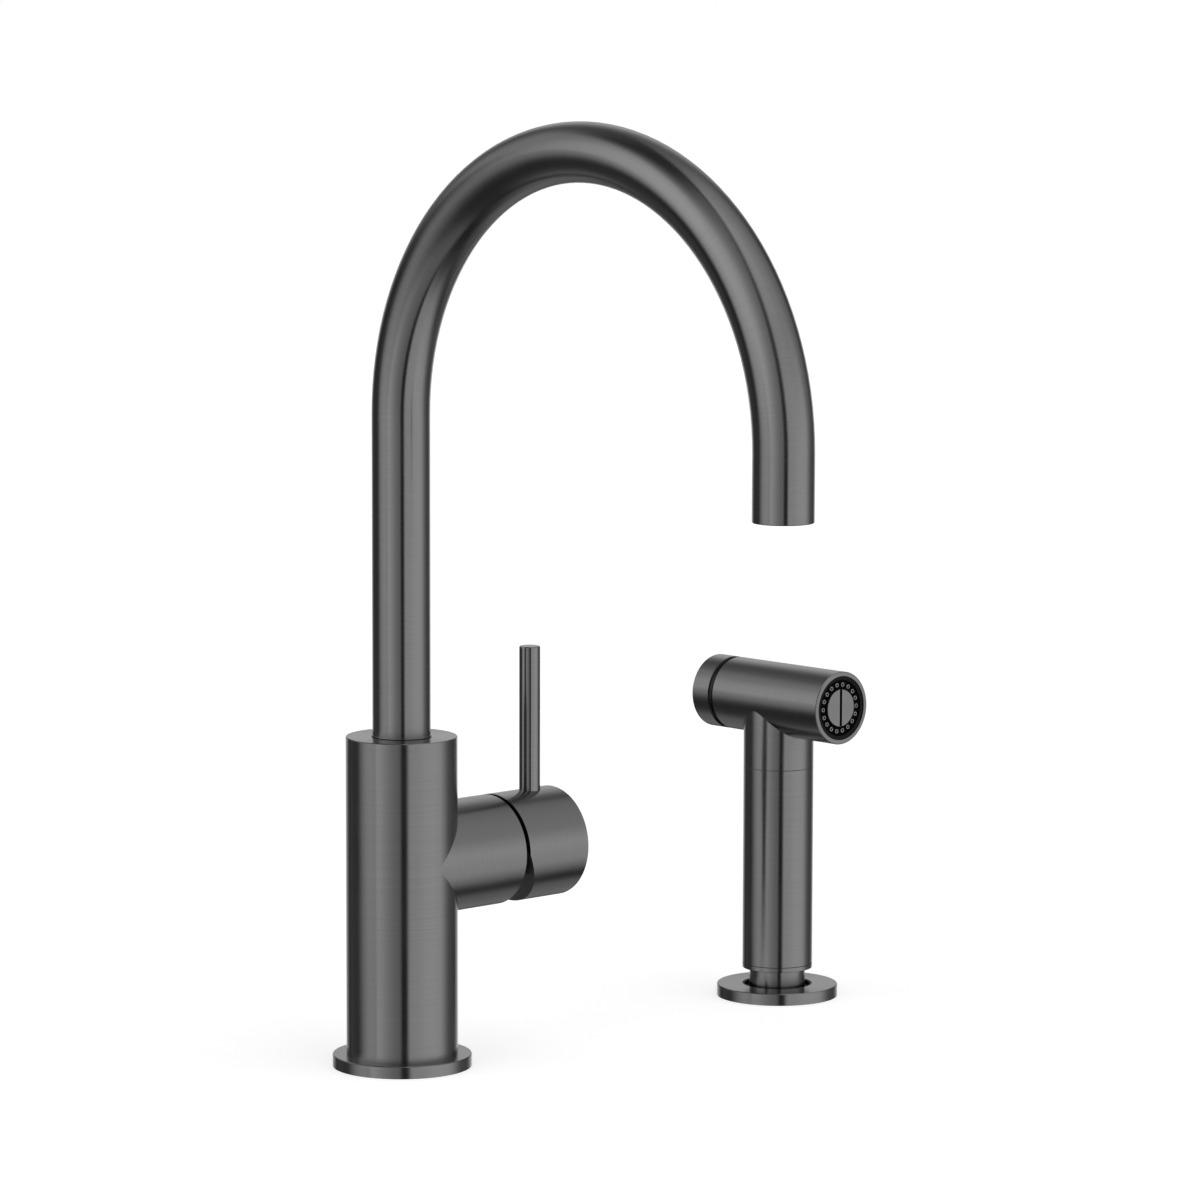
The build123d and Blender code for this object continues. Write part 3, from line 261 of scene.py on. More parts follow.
BRUSH_LINE = 0.5 * MM  # real grit lines are 0.1 mm apart, drawn coarser so that they show
BRUSH_DEPTH = 0.003 * MM
COAT_DARK = "#7C7C7C"
COAT_LIGHT = "#888888"
COAT_PATCHES = 30.0  # in a metre
SATIN = (0.21, 0.25)  # roughness of the coat's smoothest and dullest patches
SILKY = (0.12, 0.15)  # the same on the lever, which is drawn rod
SKIN = 0.03 * MM  # what stands out of a trunk by more than this is its branch
NOISE_LOW = 0.3  # most of a noise lies between these
NOISE_HIGH = 0.7
# Slow drift of the lines across a piece, in widths of a line, so that none goes all the way round
DRIFT_WAY = (0.6, 0.7, 0.4)
TURNED_DRIFT = 0.4
TUBE_DRIFT = 120.0  # for each metre across the spout


def turned(tree, through, axis):
    """For a piece brushed as it turned: the brush line's place (along the axis, out from it, round it), the
    way that it smears light, and the distance from the axis in metres."""
    point = add(tree, "TexCoord").outputs["Object"]
    arm = add(tree, "VectorMath", {"operation": "SUBTRACT"}, {0: point, 1: through}).outputs[0]
    along = add(tree, "VectorMath", {"operation": "DOT_PRODUCT"}, {0: arm, 1: axis}).outputs["Value"]
    shadow = add(tree, "VectorMath", {"operation": "PROJECT"}, {0: arm, 1: axis}).outputs[0]
    spoke = add(tree, "VectorMath", {"operation": "SUBTRACT"}, {0: arm, 1: shadow}).outputs[0]
    out = add(tree, "VectorMath", {"operation": "LENGTH"}, {0: spoke}).outputs["Value"]
    grain = add(tree, "VectorMath", {"operation": "CROSS_PRODUCT"}, {0: axis, 1: spoke}).outputs[0]
    normal = add(tree, "NewGeometry").outputs["Normal"]
    smear = add(tree, "VectorMath", {"operation": "CROSS_PRODUCT"}, {0: normal, 1: grain}).outputs[0]
    smear = add(tree, "VectorMath", {"operation": "NORMALIZE"}, {0: smear}).outputs[0]
    side = add(tree, "VectorMath", {"operation": "NORMALIZE"}, {0: spoke}).outputs[0]
    side = add(tree, "VectorMath", {"operation": "DOT_PRODUCT"}, {0: side, 1: DRIFT_WAY}).outputs["Value"]
    side = add(tree, "Math", {"operation": "MULTIPLY"}, {0: side, 1: TURNED_DRIFT}).outputs[0]
    along = add(tree, "Math", {"operation": "DIVIDE"}, {0: along, 1: BRUSH_LINE}).outputs[0]
    lines = add(tree, "Math", {"operation": "DIVIDE"}, {0: out, 1: BRUSH_LINE}).outputs[0]
    place = add(tree, "CombineXYZ", None, {0: along, 1: lines, 2: side}).outputs[0]
    return place, smear, out


def arched(tree):
    """The place and the smear for the spout: a straight tube that goes over into a half circle."""
    point = add(tree, "TexCoord").outputs["Object"]
    arm = add(tree, "VectorMath", {"operation": "SUBTRACT"}, {0: point, 1: ARCH}).outputs[0]
    arm = add(tree, "SeparateXYZ", None, {0: arm}).outputs
    above = add(tree, "Math", {"operation": "MAXIMUM"}, {0: arm["Z"], 1: 0.0}).outputs[0]
    below = add(tree, "Math", {"operation": "MINIMUM"}, {0: arm["Z"], 1: 0.0}).outputs[0]
    back = add(tree, "Math", {"operation": "MULTIPLY"}, {0: above, 1: -1.0}).outputs[0]
    smear = add(tree, "CombineXYZ", None, {0: 0.0, 1: back, 2: arm["Y"]}).outputs[0]
    smear = add(tree, "VectorMath", {"operation": "NORMALIZE"}, {0: smear}).outputs[0]
    bend = add(tree, "Math", {"operation": "ARCTAN2"}, {0: above, 1: arm["Y"]}).outputs[0]
    bend = add(tree, "Math", {"operation": "MULTIPLY"}, {0: bend, 1: ARCH_R / BRUSH_LINE}).outputs[0]
    along = add(tree, "Math", {"operation": "DIVIDE"}, {0: below, 1: BRUSH_LINE}).outputs[0]
    side = add(tree, "Math", {"operation": "MULTIPLY"}, {0: arm["X"], 1: TUBE_DRIFT}).outputs[0]
    place = add(tree, "CombineXYZ", None, {0: along, 1: bend, 2: side}).outputs[0]
    return place, smear


def gunmetal(tree, place, smear, satin=SATIN):
    """Stainless steel brushed round the piece, under a thin dark grey vapour coat: a satin grey mirror whose
    reflections are sharp round the piece and smeared along it, with fine lighter and darker lines."""
    line_look = {"Vector": place, "Scale": 1.0, "Detail": 3.0, "Roughness": 0.65}
    lines = add(tree, "TexNoise", None, line_look).outputs["Fac"]
    patch_look = {"Vector": add(tree, "TexCoord").outputs["Object"], "Scale": COAT_PATCHES, "Detail": 2.0}
    patches = add(tree, "TexNoise", None, patch_look).outputs["Fac"]
    shades = {"Factor": lines, "A": srgb(COAT_DARK), "B": srgb(COAT_LIGHT)}
    patched = {"Value": patches, "From Min": NOISE_LOW, "From Max": NOISE_HIGH}
    dulling = {**patched, "To Min": satin[0], "To Max": satin[1]}
    finish(
        tree,
        {
            "Base Color": add(tree, "Mix", {"data_type": "RGBA"}, shades).outputs["Result"],
            "Roughness": add(tree, "MapRange", None, dulling).outputs[0],
            "Normal": add(tree, "Bump", None, {"Distance": BRUSH_DEPTH, "Height": lines}).outputs[0],
            "Tangent": smear,
            "Metallic": 1.0,
            "Anisotropic": 0.8,
        },
    )


def turned_gunmetal(name, through, axis, satin=SATIN):
    """Brushed gunmetal of a piece turned about one axis."""
    made, tree = material(name)
    place, smear, _ = turned(tree, through, axis)
    gunmetal(tree, place, smear, satin)
    return made


def crossed_gunmetal(name, trunk, trunk_axis, branch, branch_axis, radius):
    """Brushed gunmetal of a turned trunk of that radius, and of its branch, brushed round its own axis."""
    made, tree = material(name)
    place, smear, out = turned(tree, trunk, trunk_axis)
    branch_place, branch_smear, _ = turned(tree, branch, branch_axis)
    outside = add(tree, "Math", {"operation": "GREATER_THAN"}, {0: out, 1: radius + SKIN}).outputs[0]
    place = add(tree, "Mix", {"data_type": "VECTOR"}, {0: outside, 4: place, 5: branch_place}).outputs[1]
    smear = add(tree, "Mix", {"data_type": "VECTOR"}, {0: outside, 4: smear, 5: branch_smear}).outputs[1]
    gunmetal(tree, place, smear)
    return made


column_gunmetal = crossed_gunmetal("gunmetal_brushed_column", COLUMN, UP, VALVE, ACROSS, COLUMN_R)
foot_gunmetal = turned_gunmetal("gunmetal_brushed_base", COLUMN, UP)
hub_gunmetal = turned_gunmetal("gunmetal_brushed_hub", VALVE, ACROSS)
lever_gunmetal = turned_gunmetal("gunmetal_brushed_lever", LEVER, UP, SILKY)
spray_gunmetal = turned_gunmetal("gunmetal_brushed_grip", SPRAY, UP)
head_gunmetal = crossed_gunmetal("gunmetal_brushed_head", HEAD, FORWARD, SPRAY, UP, HEAD_R)
button_gunmetal = turned_gunmetal("gunmetal_brushed_button", HEAD, FORWARD)
spout_gunmetal, tree = material("gunmetal_brushed_spout")
gunmetal(tree, *arched(tree))

# ---------------------------------------------------------------------------------------------
# Other finishes
# ---------------------------------------------------------------------------------------------

METAL = {"Metallic": 1.0}


def grained(name, shades, grain, depth, rough, sockets):
    """A finish with an even grain, given by its darkest and lightest shade, the grain's size and depth in
    millimetres, and the roughness of its hollows and of its tops."""
    made, tree = material(name)
    point = add(tree, "TexCoord").outputs["Object"]
    grain_look = {"Vector": point, "Scale": 1 / (grain * MM), "Detail": 3.0, "Roughness": 0.6}
    noise = add(tree, "TexNoise", None, grain_look).outputs["Fac"]
    shading = {"Factor": noise, "A": srgb(shades[0]), "B": srgb(shades[1])}
    grains = {"Value": noise, "From Min": NOISE_LOW, "From Max": NOISE_HIGH}
    dulling = {**grains, "To Min": rough[0], "To Max": rough[1]}
    finish(
        tree,
        {
            "Base Color": add(tree, "Mix", {"data_type": "RGBA"}, shading).outputs["Result"],
            "Roughness": add(tree, "MapRange", None, dulling).outputs[0],
            "Normal": add(tree, "Bump", None, {"Distance": depth * MM, "Height": noise}).outputs[0],
            **sockets,
        },
    )
    return made


# turned stainless steel, bare: cool light grey with a satin shine
bare_steel = grained("stainless_turned", ("#A9ABAD", "#BDBFC0"), 0.6, 0.004, (0.28, 0.36), METAL)
# zinc-plated steel: dull bluish grey with a faint spangle
zinc_steel = grained("steel_zinc_plated", ("#9DA3A9", "#C3C5C4"), 1.5, 0.006, (0.36, 0.5), METAL)
# turned brass: warm yellow with a soft shine
brass = grained("brass_turned", ("#B4924F", "#CBAC68"), 0.8, 0.004, (0.26, 0.36), METAL)
# turned brass, dark and glossy: its dark colour is painted shade for the gap between the hub and the body's
# branch, where the cartridge nut and stem show
gap_shade_metal = grained("brass_painted_gap_shade", ("#363636", "#444444"), 0.8, 0.003, (0.16, 0.22), METAL)
# moulded EPDM rubber: near black, matt
matt_rubber = {"Specular IOR Level": 0.2}
rubber = grained("epdm_moulded", ("#0B0B0B", "#151515"), 0.5, 0.01, (0.6, 0.75), matt_rubber)
# dipped rubber of the button's boot: black with a soft shine
soft_shine = {"Specular IOR Level": 0.28}
boot_rubber = grained("epdm_black_shiny", ("#060606", "#0C0C0C"), 0.8, 0.004, (0.22, 0.3), soft_shine)
# moulded silicone rubber: grey, slightly shiny
silicone = grained("silicone_grey_moulded", ("#A8A8A8", "#B8B8B8"), 0.4, 0.006, (0.45, 0.55), {"IOR": 1.43})
# moulded acetal: milky white, waxy
waxy = {"IOR": 1.48}
white_acetal = grained("acetal_white_moulded", ("#DCDAD2", "#E9E7E0"), 1.2, 0.004, (0.34, 0.44), waxy)
# moulded acetal, dyed grey: waxy too
grey_acetal = grained("acetal_grey_moulded", ("#77797B", "#8A8C8E"), 1.2, 0.004, (0.36, 0.46), waxy)
# moulded ABS from a spark-eroded mould: black with a fine matt grain
faint_shine = {"Specular IOR Level": 0.16}
black_abs = grained("abs_black_spark_eroded", ("#060606", "#0E0E0E"), 0.35, 0.012, (0.42, 0.55), faint_shine)
# moulded ABS set back in the spray face: black, darker and with hardly any shine next to the raised ring's
# ABS; the difference is painted shade for the recess, the nozzle tubes and the slot floor
hardly_any = {"Specular IOR Level": 0.03}
recess_shade_abs = grained("abs_black_painted_recess_shade", ("#030303", "#070707"), 0.5, 0.004, (0.5, 0.6), hardly_any)
# lapped alumina: off-white, nearly polished
alumina = grained("alumina_lapped", ("#E2DFD6", "#F0EEE8"), 2.0, 0.001, (0.16, 0.22), {"IOR": 1.77})

# What each of the record's material slots gets
BY_SLOT = {
    "gunmetal": foot_gunmetal,
    "bare_steel": bare_steel,
    "zinc_steel": zinc_steel,
    "brass": brass,
    "black_rubber": rubber,
    "white_plastic": white_acetal,
    "grey_plastic": grey_acetal,
    "black_plastic": black_abs,
    "grey_silicone": silicone,
    "ceramic": alumina,
}
# What these nodes get instead
BY_NODE = {
    "body_shell": column_gunmetal,
    "handle_hub": hub_gunmetal,
    "lever_rod": lever_gunmetal,
    "spout_tube": spout_gunmetal,
    "outlet_sleeve": spout_gunmetal,
    "spray_flange": spray_gunmetal,
    "hose_neck": spray_gunmetal,
    "neck_collar": spray_gunmetal,
    "grip_tube": spray_gunmetal,
    "handset_head": head_gunmetal,
    "push_button": button_gunmetal,
    "face_disc": button_gunmetal,
    # the recessed spray face gets the darker black ABS, which is painted shade
    "spray_face": recess_shade_abs,
    "button_boot": boot_rubber,
    # painted shade: the cartridge nut and stem are dark for the gap that they show in
    "cartridge_nut": gap_shade_metal,
    "cartridge_stem": gap_shade_metal,
}


def under_deck(piece):
    """The deck hides this piece from the metal above it, which must not mirror it either."""
    piece.visible_glossy = False
    return piece


for part in frame["record"]["subparts"]:
    piece = frame["nodes"][part["node"]]
    piece.data.materials.clear()
    piece.data.materials.append(BY_NODE.get(part["node"], BY_SLOT[part["material_slot"]]))
    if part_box(part["node"])[1][2] < BELOW_DECK:
        under_deck(piece)

# ---------------------------------------------------------------------------------------------
# Ways of making the fine pieces: their sizes are in millimetres, and their points in the frame's metres
# ---------------------------------------------------------------------------------------------

ROUND = 96  # steps of a large ring
WELD = 0.001 * MM
TO_FRONT = math.radians(-90)  # about X, from upright to facing the front
UPRIGHT = math.radians(90)
THREAD_FILL = 0.9  # share of its pitch that the ridge of a thread takes
NUT_FACE = 0.47  # radius of a nut's end faces, in widths across its flats
NUT_SLOPE = math.radians(30)  # of the cone that its corners are turned to
NUT_TURN = math.radians(30)  # brings two of its flats to the front and the back
WIRE_SIDES = 12


def edit(piece):
    """Enters edit mode on one piece, with all of it selected."""
    bpy.ops.object.select_all(action="DESELECT")
    piece.select_set(True)
    bpy.context.view_layer.objects.active = piece
    bpy.ops.object.mode_set(mode="EDIT")
    bpy.ops.mesh.select_all(action="SELECT")


def weld(ends=0):
    """Merges what meets, closes ends of that many sides, turns the faces outwards and leaves edit mode."""
    bpy.ops.mesh.select_all(action="SELECT")
    bpy.ops.mesh.remove_doubles(threshold=WELD)
    if ends:
        bpy.ops.mesh.fill_holes(sides=ends)
        bpy.ops.mesh.select_all(action="SELECT")
    bpy.ops.mesh.normals_make_consistent(inside=False)
    bpy.ops.object.mode_set(mode="OBJECT")


def smooth(piece, angle):
    """Smooth shading, except at edges sharper than that many degrees."""
    bpy.context.view_layer.objects.active = piece
    piece.select_set(True)
    bpy.ops.object.shade_smooth_by_angle(angle=math.radians(angle))
    bpy.ops.object.select_all(action="DESELECT")


def lathe(centre, section, steps=ROUND, solid=False):
    """A circle drawn out through the section's points (radius, height) round an upright axis: a solid bar, or
    a ring whose last point meets its first."""
    points = [(radius * MM, height * MM) for radius, height in section]
    radius, height = points[0]
    fill = "NGON" if solid else "NOTHING"
    start = centre + UP * height
    bpy.ops.mesh.primitive_circle_add(vertices=steps, radius=radius, fill_type=fill, location=start)
    piece = bpy.context.object
    bpy.ops.object.transform_apply(location=True)
    edit(piece)
    for next_radius, next_height in points[1:] if solid else points[1:] + points[:1]:
        bpy.ops.mesh.extrude_region_move(TRANSFORM_OT_translate={"value": (0, 0, next_height - height)})
        grow = next_radius / radius
        bpy.ops.transform.resize(value=(grow, grow, 1), center_override=centre + UP * next_height)
        radius, height = next_radius, next_height
    weld()
    return piece


def wind(section, pitch, turns, steps):
    """Winds a closed section round the upright axis through its object's origin, and closes the two ends."""
    sides = len(section.data.vertices)
    winding = section.modifiers.new("wind", "SCREW")
    winding.axis = "Z"
    winding.screw_offset = pitch
    winding.iterations = turns
    winding.steps = winding.render_steps = steps
    bpy.ops.object.modifier_apply(modifier=winding.name)
    bpy.ops.object.transform_apply(location=True)
    edit(section)
    weld(sides)
    return section


def thread(centre, root, crest, pitch, low, high, steps):
    """Ridge of a thread: a three-sided section with one corner outwards, wound round an upright axis."""
    deep = (crest - root) * MM
    wide = THREAD_FILL * pitch * MM
    start = centre + UP * (low + pitch / 2) * MM
    bpy.ops.mesh.primitive_circle_add(vertices=3, radius=deep, location=start)
    section = bpy.context.object
    edit(section)
    bpy.ops.transform.rotate(value=UPRIGHT, orient_axis="Z", center_override=start)
    bpy.ops.transform.rotate(value=UPRIGHT, orient_axis="X", center_override=start)
    section.update_from_editmode()
    corner = max((vertex.co.x for vertex in section.data.vertices), key=abs)
    bpy.ops.transform.resize(value=(1, 1, wide / (deep * math.sqrt(3))), center_override=start)
    bpy.ops.transform.translate(value=(math.copysign(crest * MM - deep, corner), 0, 0))
    bpy.ops.object.mode_set(mode="OBJECT")
    return wind(section, pitch * MM, int((high - low) / pitch) - 1, steps)


def coil(centre, radius, wire, turns, low, high, steps):
    """Coil of round wire round an upright axis, its wire's middle going from low to high."""
    start = centre + UP * low * MM
    bpy.ops.mesh.primitive_circle_add(vertices=WIRE_SIDES, radius=wire / 2 * MM, location=start)
    section = bpy.context.object
    edit(section)
    bpy.ops.transform.rotate(value=UPRIGHT, orient_axis="X", center_override=start)
    bpy.ops.transform.translate(value=(radius * MM, 0, 0))
    bpy.ops.object.mode_set(mode="OBJECT")
    return wind(section, (high - low) / turns * MM, turns, steps)


def joined(first, *others):
    """One piece of several shells."""
    bpy.ops.object.select_all(action="DESELECT")
    for shell in (first, *others):
        shell.select_set(True)
    bpy.context.view_layer.objects.active = first
    bpy.ops.object.join()
    bpy.ops.object.select_all(action="DESELECT")
    return first


def cut(piece, tool, operation):
    """Takes the tool away from the piece, or keeps what lies in both."""
    bpy.context.view_layer.objects.active = piece
    cutting = piece.modifiers.new("cut", "BOOLEAN")
    cutting.object = tool
    cutting.operation = operation
    cutting.solver = "EXACT"
    bpy.ops.object.modifier_apply(modifier=cutting.name)
    bpy.data.objects.remove(tool)


def nut(centre, flats, height, bore, steps):
    """Hexagon nut whose corners are turned off at both ends."""
    corner = flats / math.sqrt(3)
    face = NUT_FACE * flats
    bevel = (corner - face) * math.tan(NUT_SLOPE)
    bpy.ops.mesh.primitive_cylinder_add(
        vertices=6,
        radius=corner * MM,
        depth=height * MM,
        location=centre + UP * height * MM / 2,
        rotation=(0, 0, NUT_TURN),
    )
    piece = bpy.context.object
    bpy.ops.object.transform_apply(location=True, rotation=True)
    blank = [(face, 0), (corner, bevel), (corner, height - bevel), (face, height)]
    cut(piece, lathe(centre, blank, steps, solid=True), "INTERSECT")
    through = [(bore / 2, -height), (bore / 2, 2 * height)]
    cut(piece, lathe(centre, through, steps, solid=True), "DIFFERENCE")
    smooth(piece, 25)
    return piece


def ready(piece, name, body, slot, look, *replaced):
    """Names a finished piece, dresses it and lets it ride on its body."""
    piece.name = name
    piece.data.materials.clear()
    piece.data.materials.append(look)
    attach(piece, body)
    if replaced:
        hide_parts(*replaced)
    return piece


def thin_ring(section, centre, name, body, slot, look):
    """A ready ring with that section round an upright axis."""
    ring = lathe(centre, section)
    smooth(ring, 50)
    return ready(ring, name, body, slot, look)


def at_head(piece, name, slot, look, *replaced, count=1):
    """Turns a piece that was drawn upright about the head's middle to the front, and makes count of it round
    the head's axis."""
    edit(piece)
    bpy.ops.transform.rotate(value=TO_FRONT, orient_axis="X", center_override=HEAD)
    bpy.ops.object.mode_set(mode="OBJECT")
    copies = [piece]
    for place in range(1, count):
        bpy.ops.object.select_all(action="DESELECT")
        piece.select_set(True)
        bpy.context.view_layer.objects.active = piece
        bpy.ops.object.duplicate(linked=False)
        copies.append(bpy.context.object)
        edit(copies[-1])
        bpy.ops.transform.rotate(value=place * math.tau / count, orient_axis="Y", center_override=HEAD)
        bpy.ops.object.mode_set(mode="OBJECT")
    return ready(joined(*copies), name, "handset", slot, look, *replaced)


def shortens(piece):
    """Gives a piece a mesh of its own. The piece lies behind the grip's axis, from front to rear, and the
    button shortens it as it goes in.
    """
    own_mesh(piece)


# ---------------------------------------------------------------------------------------------
# Spray face. Heights are forward of the grip's axis
# ---------------------------------------------------------------------------------------------

NOZZLES = 18
NOZZLE_RING = 10.6  # radius of the circle that they stand on
NOZZLE_R = 0.95
NOZZLE_HOLE_R = 0.57
NOZZLE_ROOT = 31.8
NOZZLE_TIP = 38.95
LIP_EDGE = NOZZLE_TIP - 0.21  # where the outside starts to curve in
TUBE_R = 0.56
TUBE_BORE_R = 0.5
TUBE_ROOT = 34
FACE_RING_R = 14.4
FACE_RING_BORE_R = 12.7
FACE_FLOOR = 38.5
FACE_RING_TOP = 39.25
FINE_STEPS = 20  # round a nozzle

# silicone nozzles, each with a rounded lip
nozzle = lathe(
    HEAD + ACROSS * NOZZLE_RING * MM,
    [
        (NOZZLE_HOLE_R, NOZZLE_ROOT),
        (NOZZLE_R, NOZZLE_ROOT),
        (NOZZLE_R, LIP_EDGE),
        (0.89, NOZZLE_TIP - 0.07),
        (0.76, NOZZLE_TIP),
        (0.62, NOZZLE_TIP - 0.05),
        (NOZZLE_HOLE_R, NOZZLE_TIP - 0.17),
    ],
    FINE_STEPS,
)
smooth(nozzle, 40)
at_head(nozzle, "spray_nozzle_lips", "grey_silicone", silicone, "spray_nozzles", count=NOZZLES)

# painted shade: a black tube inside each nozzle, which makes its hole dark where shade falls in it
tube = lathe(
    HEAD + ACROSS * NOZZLE_RING * MM,
    [
        (TUBE_BORE_R, TUBE_ROOT),
        (TUBE_R, TUBE_ROOT),
        (TUBE_R, LIP_EDGE),
        (0.53, LIP_EDGE + 0.04),
        (TUBE_BORE_R, LIP_EDGE),
    ],
    FINE_STEPS,
)
smooth(tube, 40)
at_head(tube, "spray_nozzle_hole_shade_tubes", "black_plastic", recess_shade_abs, count=NOZZLES)

# raised ring of the spray face, with rounded edges
face_ring = lathe(
    HEAD,
    [
        (FACE_RING_BORE_R, FACE_FLOOR),
        (FACE_RING_R, FACE_FLOOR),
        (FACE_RING_R, FACE_RING_TOP - 0.09),
        (FACE_RING_R - 0.1, FACE_RING_TOP),
        (FACE_RING_BORE_R + 0.15, FACE_RING_TOP),
        (FACE_RING_BORE_R + 0.02, FACE_RING_TOP - 0.09),
    ],
)
smooth(face_ring, 40)
at_head(face_ring, "spray_face_ring", "black_plastic", black_abs)

# ---------------------------------------------------------------------------------------------
# Between head and button. Places are behind the grip's axis
# ---------------------------------------------------------------------------------------------

SPRING_FRONT = 18
SPRING_R = 5
SPRING_TURNS = 5
WIRE = 1
BUTTON_FRONT = 29.5  # spring and boot end here
BOOT_FRONT = 26.75
BOOT_R = 16.28
BOOT_BORE_R = 14.2
WAIST_R = 15.65
WAIST_EDGE_R = 15.85
WAIST_START = 0.35  # in from each end of the boot to the waist's edge
WAIST_IN = 0.9  # and to the waist itself

# coil spring behind the button, of round wire, which shortens as the button goes in
spring_rear = WIRE / 2 - BUTTON_FRONT
spring_front = -SPRING_FRONT - WIRE / 2
spring = coil(HEAD, SPRING_R, WIRE, SPRING_TURNS, spring_rear, spring_front, steps=40)
smooth(spring, 50)
spring = at_head(spring, "return_spring_round_wire", "bare_steel", bare_steel, "return_spring")
shortens(spring)

# rubber boot in front of the button, with a shallow waist
boot = lathe(
    HEAD,
    [
        (BOOT_BORE_R, -BUTTON_FRONT),
        (BOOT_R, -BUTTON_FRONT),
        (WAIST_EDGE_R, WAIST_START - BUTTON_FRONT),
        (WAIST_R, WAIST_IN - BUTTON_FRONT),
        (WAIST_R, -WAIST_IN - BOOT_FRONT),
        (WAIST_EDGE_R, -WAIST_START - BOOT_FRONT),
        (BOOT_R, -BOOT_FRONT),
        (BOOT_BORE_R, -BOOT_FRONT),
    ],
)
smooth(boot, 30)
boot = at_head(boot, "button_boot_waisted", "black_rubber", boot_rubber, "button_boot")
shortens(boot)

# ---------------------------------------------------------------------------------------------
# Slot of the disc in the spray face. Heights are forward of the grip's axis
# ---------------------------------------------------------------------------------------------

SLOT_FLOOR = 38.66
SLOT_FLOOR_TOP = 38.8
SLOT_R = 8.2  # half the floor's length
SLOT_MIDDLE = 38.7
SLOT_WIDTH = 1.46
SLOT_LENGTH = 20
SLOT_DEPTH = 1

# painted shade: a black floor put in the slot of the disc, which runs right across it, in the darker ABS
slot_floor = lathe(HEAD, [(SLOT_R, SLOT_FLOOR), (SLOT_R, SLOT_FLOOR_TOP)], solid=True)
slot_middle = HEAD + UP * SLOT_MIDDLE * MM
slot_size = (SLOT_WIDTH * MM, SLOT_LENGTH * MM, SLOT_DEPTH * MM)
bpy.ops.mesh.primitive_cube_add(size=1, location=slot_middle, scale=slot_size)
cut(slot_floor, bpy.context.object, "INTERSECT")
smooth(slot_floor, 30)
at_head(slot_floor, "face_disc_slot_shade_floor", "black_plastic", recess_shade_abs)

# ---------------------------------------------------------------------------------------------
# Fastenings below the deck. Heights are above the deck
# ---------------------------------------------------------------------------------------------

STUD_FOOT = -62.5
STUD_TOP = 14
STUD_R = 4
STUD_ROOT_R = 3.4
STUD_PITCH = 1.25
STUD_NUT_FOOT = -47.5
SHANK_FOOT = -55
SHANK_R = 16.5
SHANK_ROOT_R = 15.7
SHANK_BORE_R = 13.9
SHANK_PITCH = 1.5
SHANK_NECK = -1.5  # plain above this
COLLAR_R = 21
COLLAR_TOP = 3
HOLDER_NUT_FOOT = -42.5
SINK = 0.1  # depth that the foot of a ridge goes into its core

# M8 stud under the mixer, its lower end chamfered
core_section = [(STUD_ROOT_R - 0.3, STUD_FOOT), (STUD_ROOT_R, STUD_FOOT + 0.4), (STUD_ROOT_R, STUD_TOP)]
core = lathe(STUD, core_section, steps=32, solid=True)
ridge = thread(STUD, STUD_ROOT_R - SINK, STUD_R, STUD_PITCH, STUD_FOOT + 0.2, STUD_TOP - 0.1, steps=24)
stud = joined(core, ridge)
smooth(stud, 30)
ready(under_deck(stud), "mounting_stud_threaded", "deck_assembly", "zinc_steel", zinc_steel, "mounting_stud")
stud_nut = nut(STUD + UP * STUD_NUT_FOOT * MM, flats=13, height=12, bore=8.2, steps=48)
ready(under_deck(stud_nut), "stud_nut_chamfered", "deck_assembly", "brass", brass, "stud_nut")

# M33 shank of the spray's holder, with its collar in the flange
sleeve = lathe(
    SPRAY,
    [
        (SHANK_BORE_R, SHANK_FOOT),
        (SHANK_ROOT_R - 0.3, SHANK_FOOT),
        (SHANK_ROOT_R, SHANK_FOOT + 0.4),
        (SHANK_ROOT_R, SHANK_NECK - 0.5),
        (SHANK_R, SHANK_NECK),
        (SHANK_R, 0),
        (COLLAR_R - 0.2, 0),
        (COLLAR_R, 0.2),
        (COLLAR_R, COLLAR_TOP),
        (SHANK_BORE_R, COLLAR_TOP),
    ],
)
shank_low = SHANK_FOOT + 0.2
shank_high = SHANK_NECK + 0.3
ridge = thread(SPRAY, SHANK_ROOT_R - SINK, SHANK_R, SHANK_PITCH, shank_low, shank_high, steps=64)
shank = joined(sleeve, ridge)
smooth(shank, 30)
ready(under_deck(shank), "holder_shank_threaded", "deck_assembly", "brass", brass, "holder_shank")
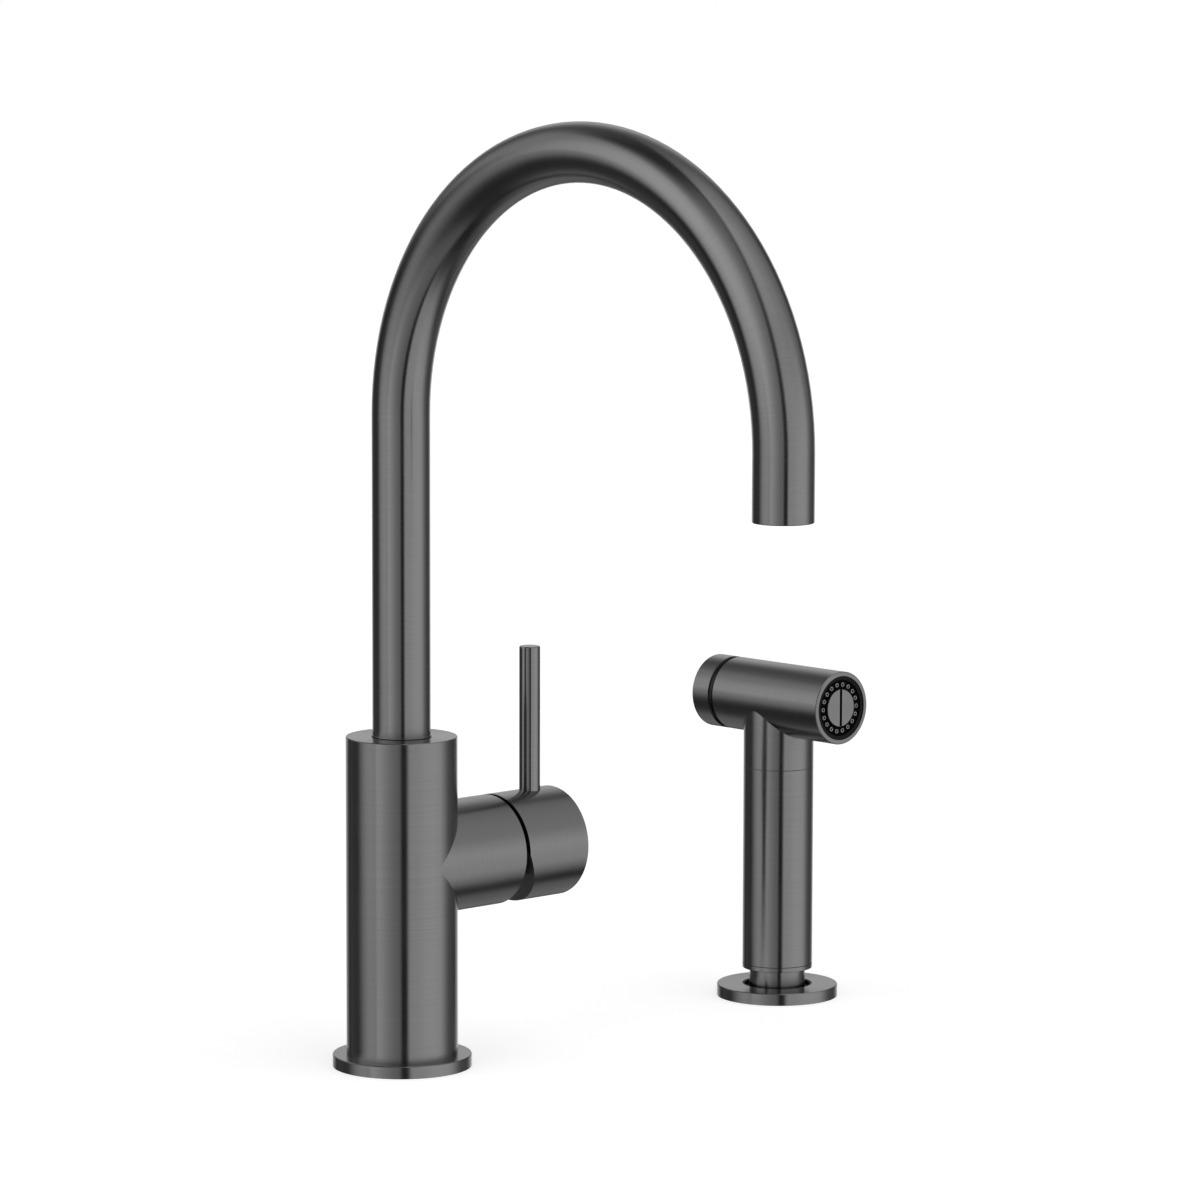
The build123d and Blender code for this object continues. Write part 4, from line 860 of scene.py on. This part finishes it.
holder_nut = nut(SPRAY + UP * HOLDER_NUT_FOOT * MM, flats=41, height=8, bore=33.2, steps=72)
ready(under_deck(holder_nut), "holder_nut_chamfered", "deck_assembly", "brass", brass, "holder_nut")

# ---------------------------------------------------------------------------------------------
# Fine lines round the foot of the spout and of the grip. Heights are above the deck
# ---------------------------------------------------------------------------------------------

COLUMN_TOP = 143.2
BEAD_FOOT = COLUMN_TOP + 0.14
BEAD_TOP = BEAD_FOOT + 0.5
BEAD_R = 12.86
BEAD_BORE_R = 12.45
WIPER_FOOT = COLUMN_TOP + 0.01
WIPER_TOP = WIPER_FOOT + 0.14
WIPER_R = 12.72
WIPER_BORE_R = 12.4
WASHER_FOOT = 14.92
WASHER_TOP = 15.28
WASHER_R = 15.98
WASHER_BORE_R = 15.5

# fine bead of metal round the foot of the spout
bead = [
    (BEAD_BORE_R, BEAD_FOOT),
    (BEAD_R - 0.06, BEAD_FOOT),
    (BEAD_R, BEAD_FOOT + 0.06),
    (BEAD_R, BEAD_TOP - 0.1),
    (BEAD_R - 0.06, BEAD_TOP - 0.04),
    (BEAD_BORE_R, BEAD_TOP),
]
thin_ring(bead, COLUMN, "spout_foot_bead", "spout", "gunmetal", foot_gunmetal)

# rubber lip under it, which shows as a dark hairline over the column
wiper = [
    (WIPER_BORE_R, WIPER_FOOT),
    (WIPER_R, WIPER_FOOT),
    (WIPER_R - 0.06, WIPER_FOOT + 0.07),
    (WIPER_R, WIPER_TOP),
    (WIPER_BORE_R, WIPER_TOP),
]
thin_ring(wiper, COLUMN, "spout_foot_wiper", "spout", "black_rubber", rubber)

# slide washer that shows as a dark hairline between the neck's collar and the grip
washer = [
    (WASHER_BORE_R, WASHER_FOOT),
    (WASHER_R - 0.05, WASHER_FOOT),
    (WASHER_R, WASHER_FOOT + 0.05),
    (WASHER_R, WASHER_TOP - 0.05),
    (WASHER_R - 0.05, WASHER_TOP),
    (WASHER_BORE_R, WASHER_TOP),
]
thin_ring(washer, SPRAY, "grip_slide_washer", "handset_neck", "black_rubber", rubber)
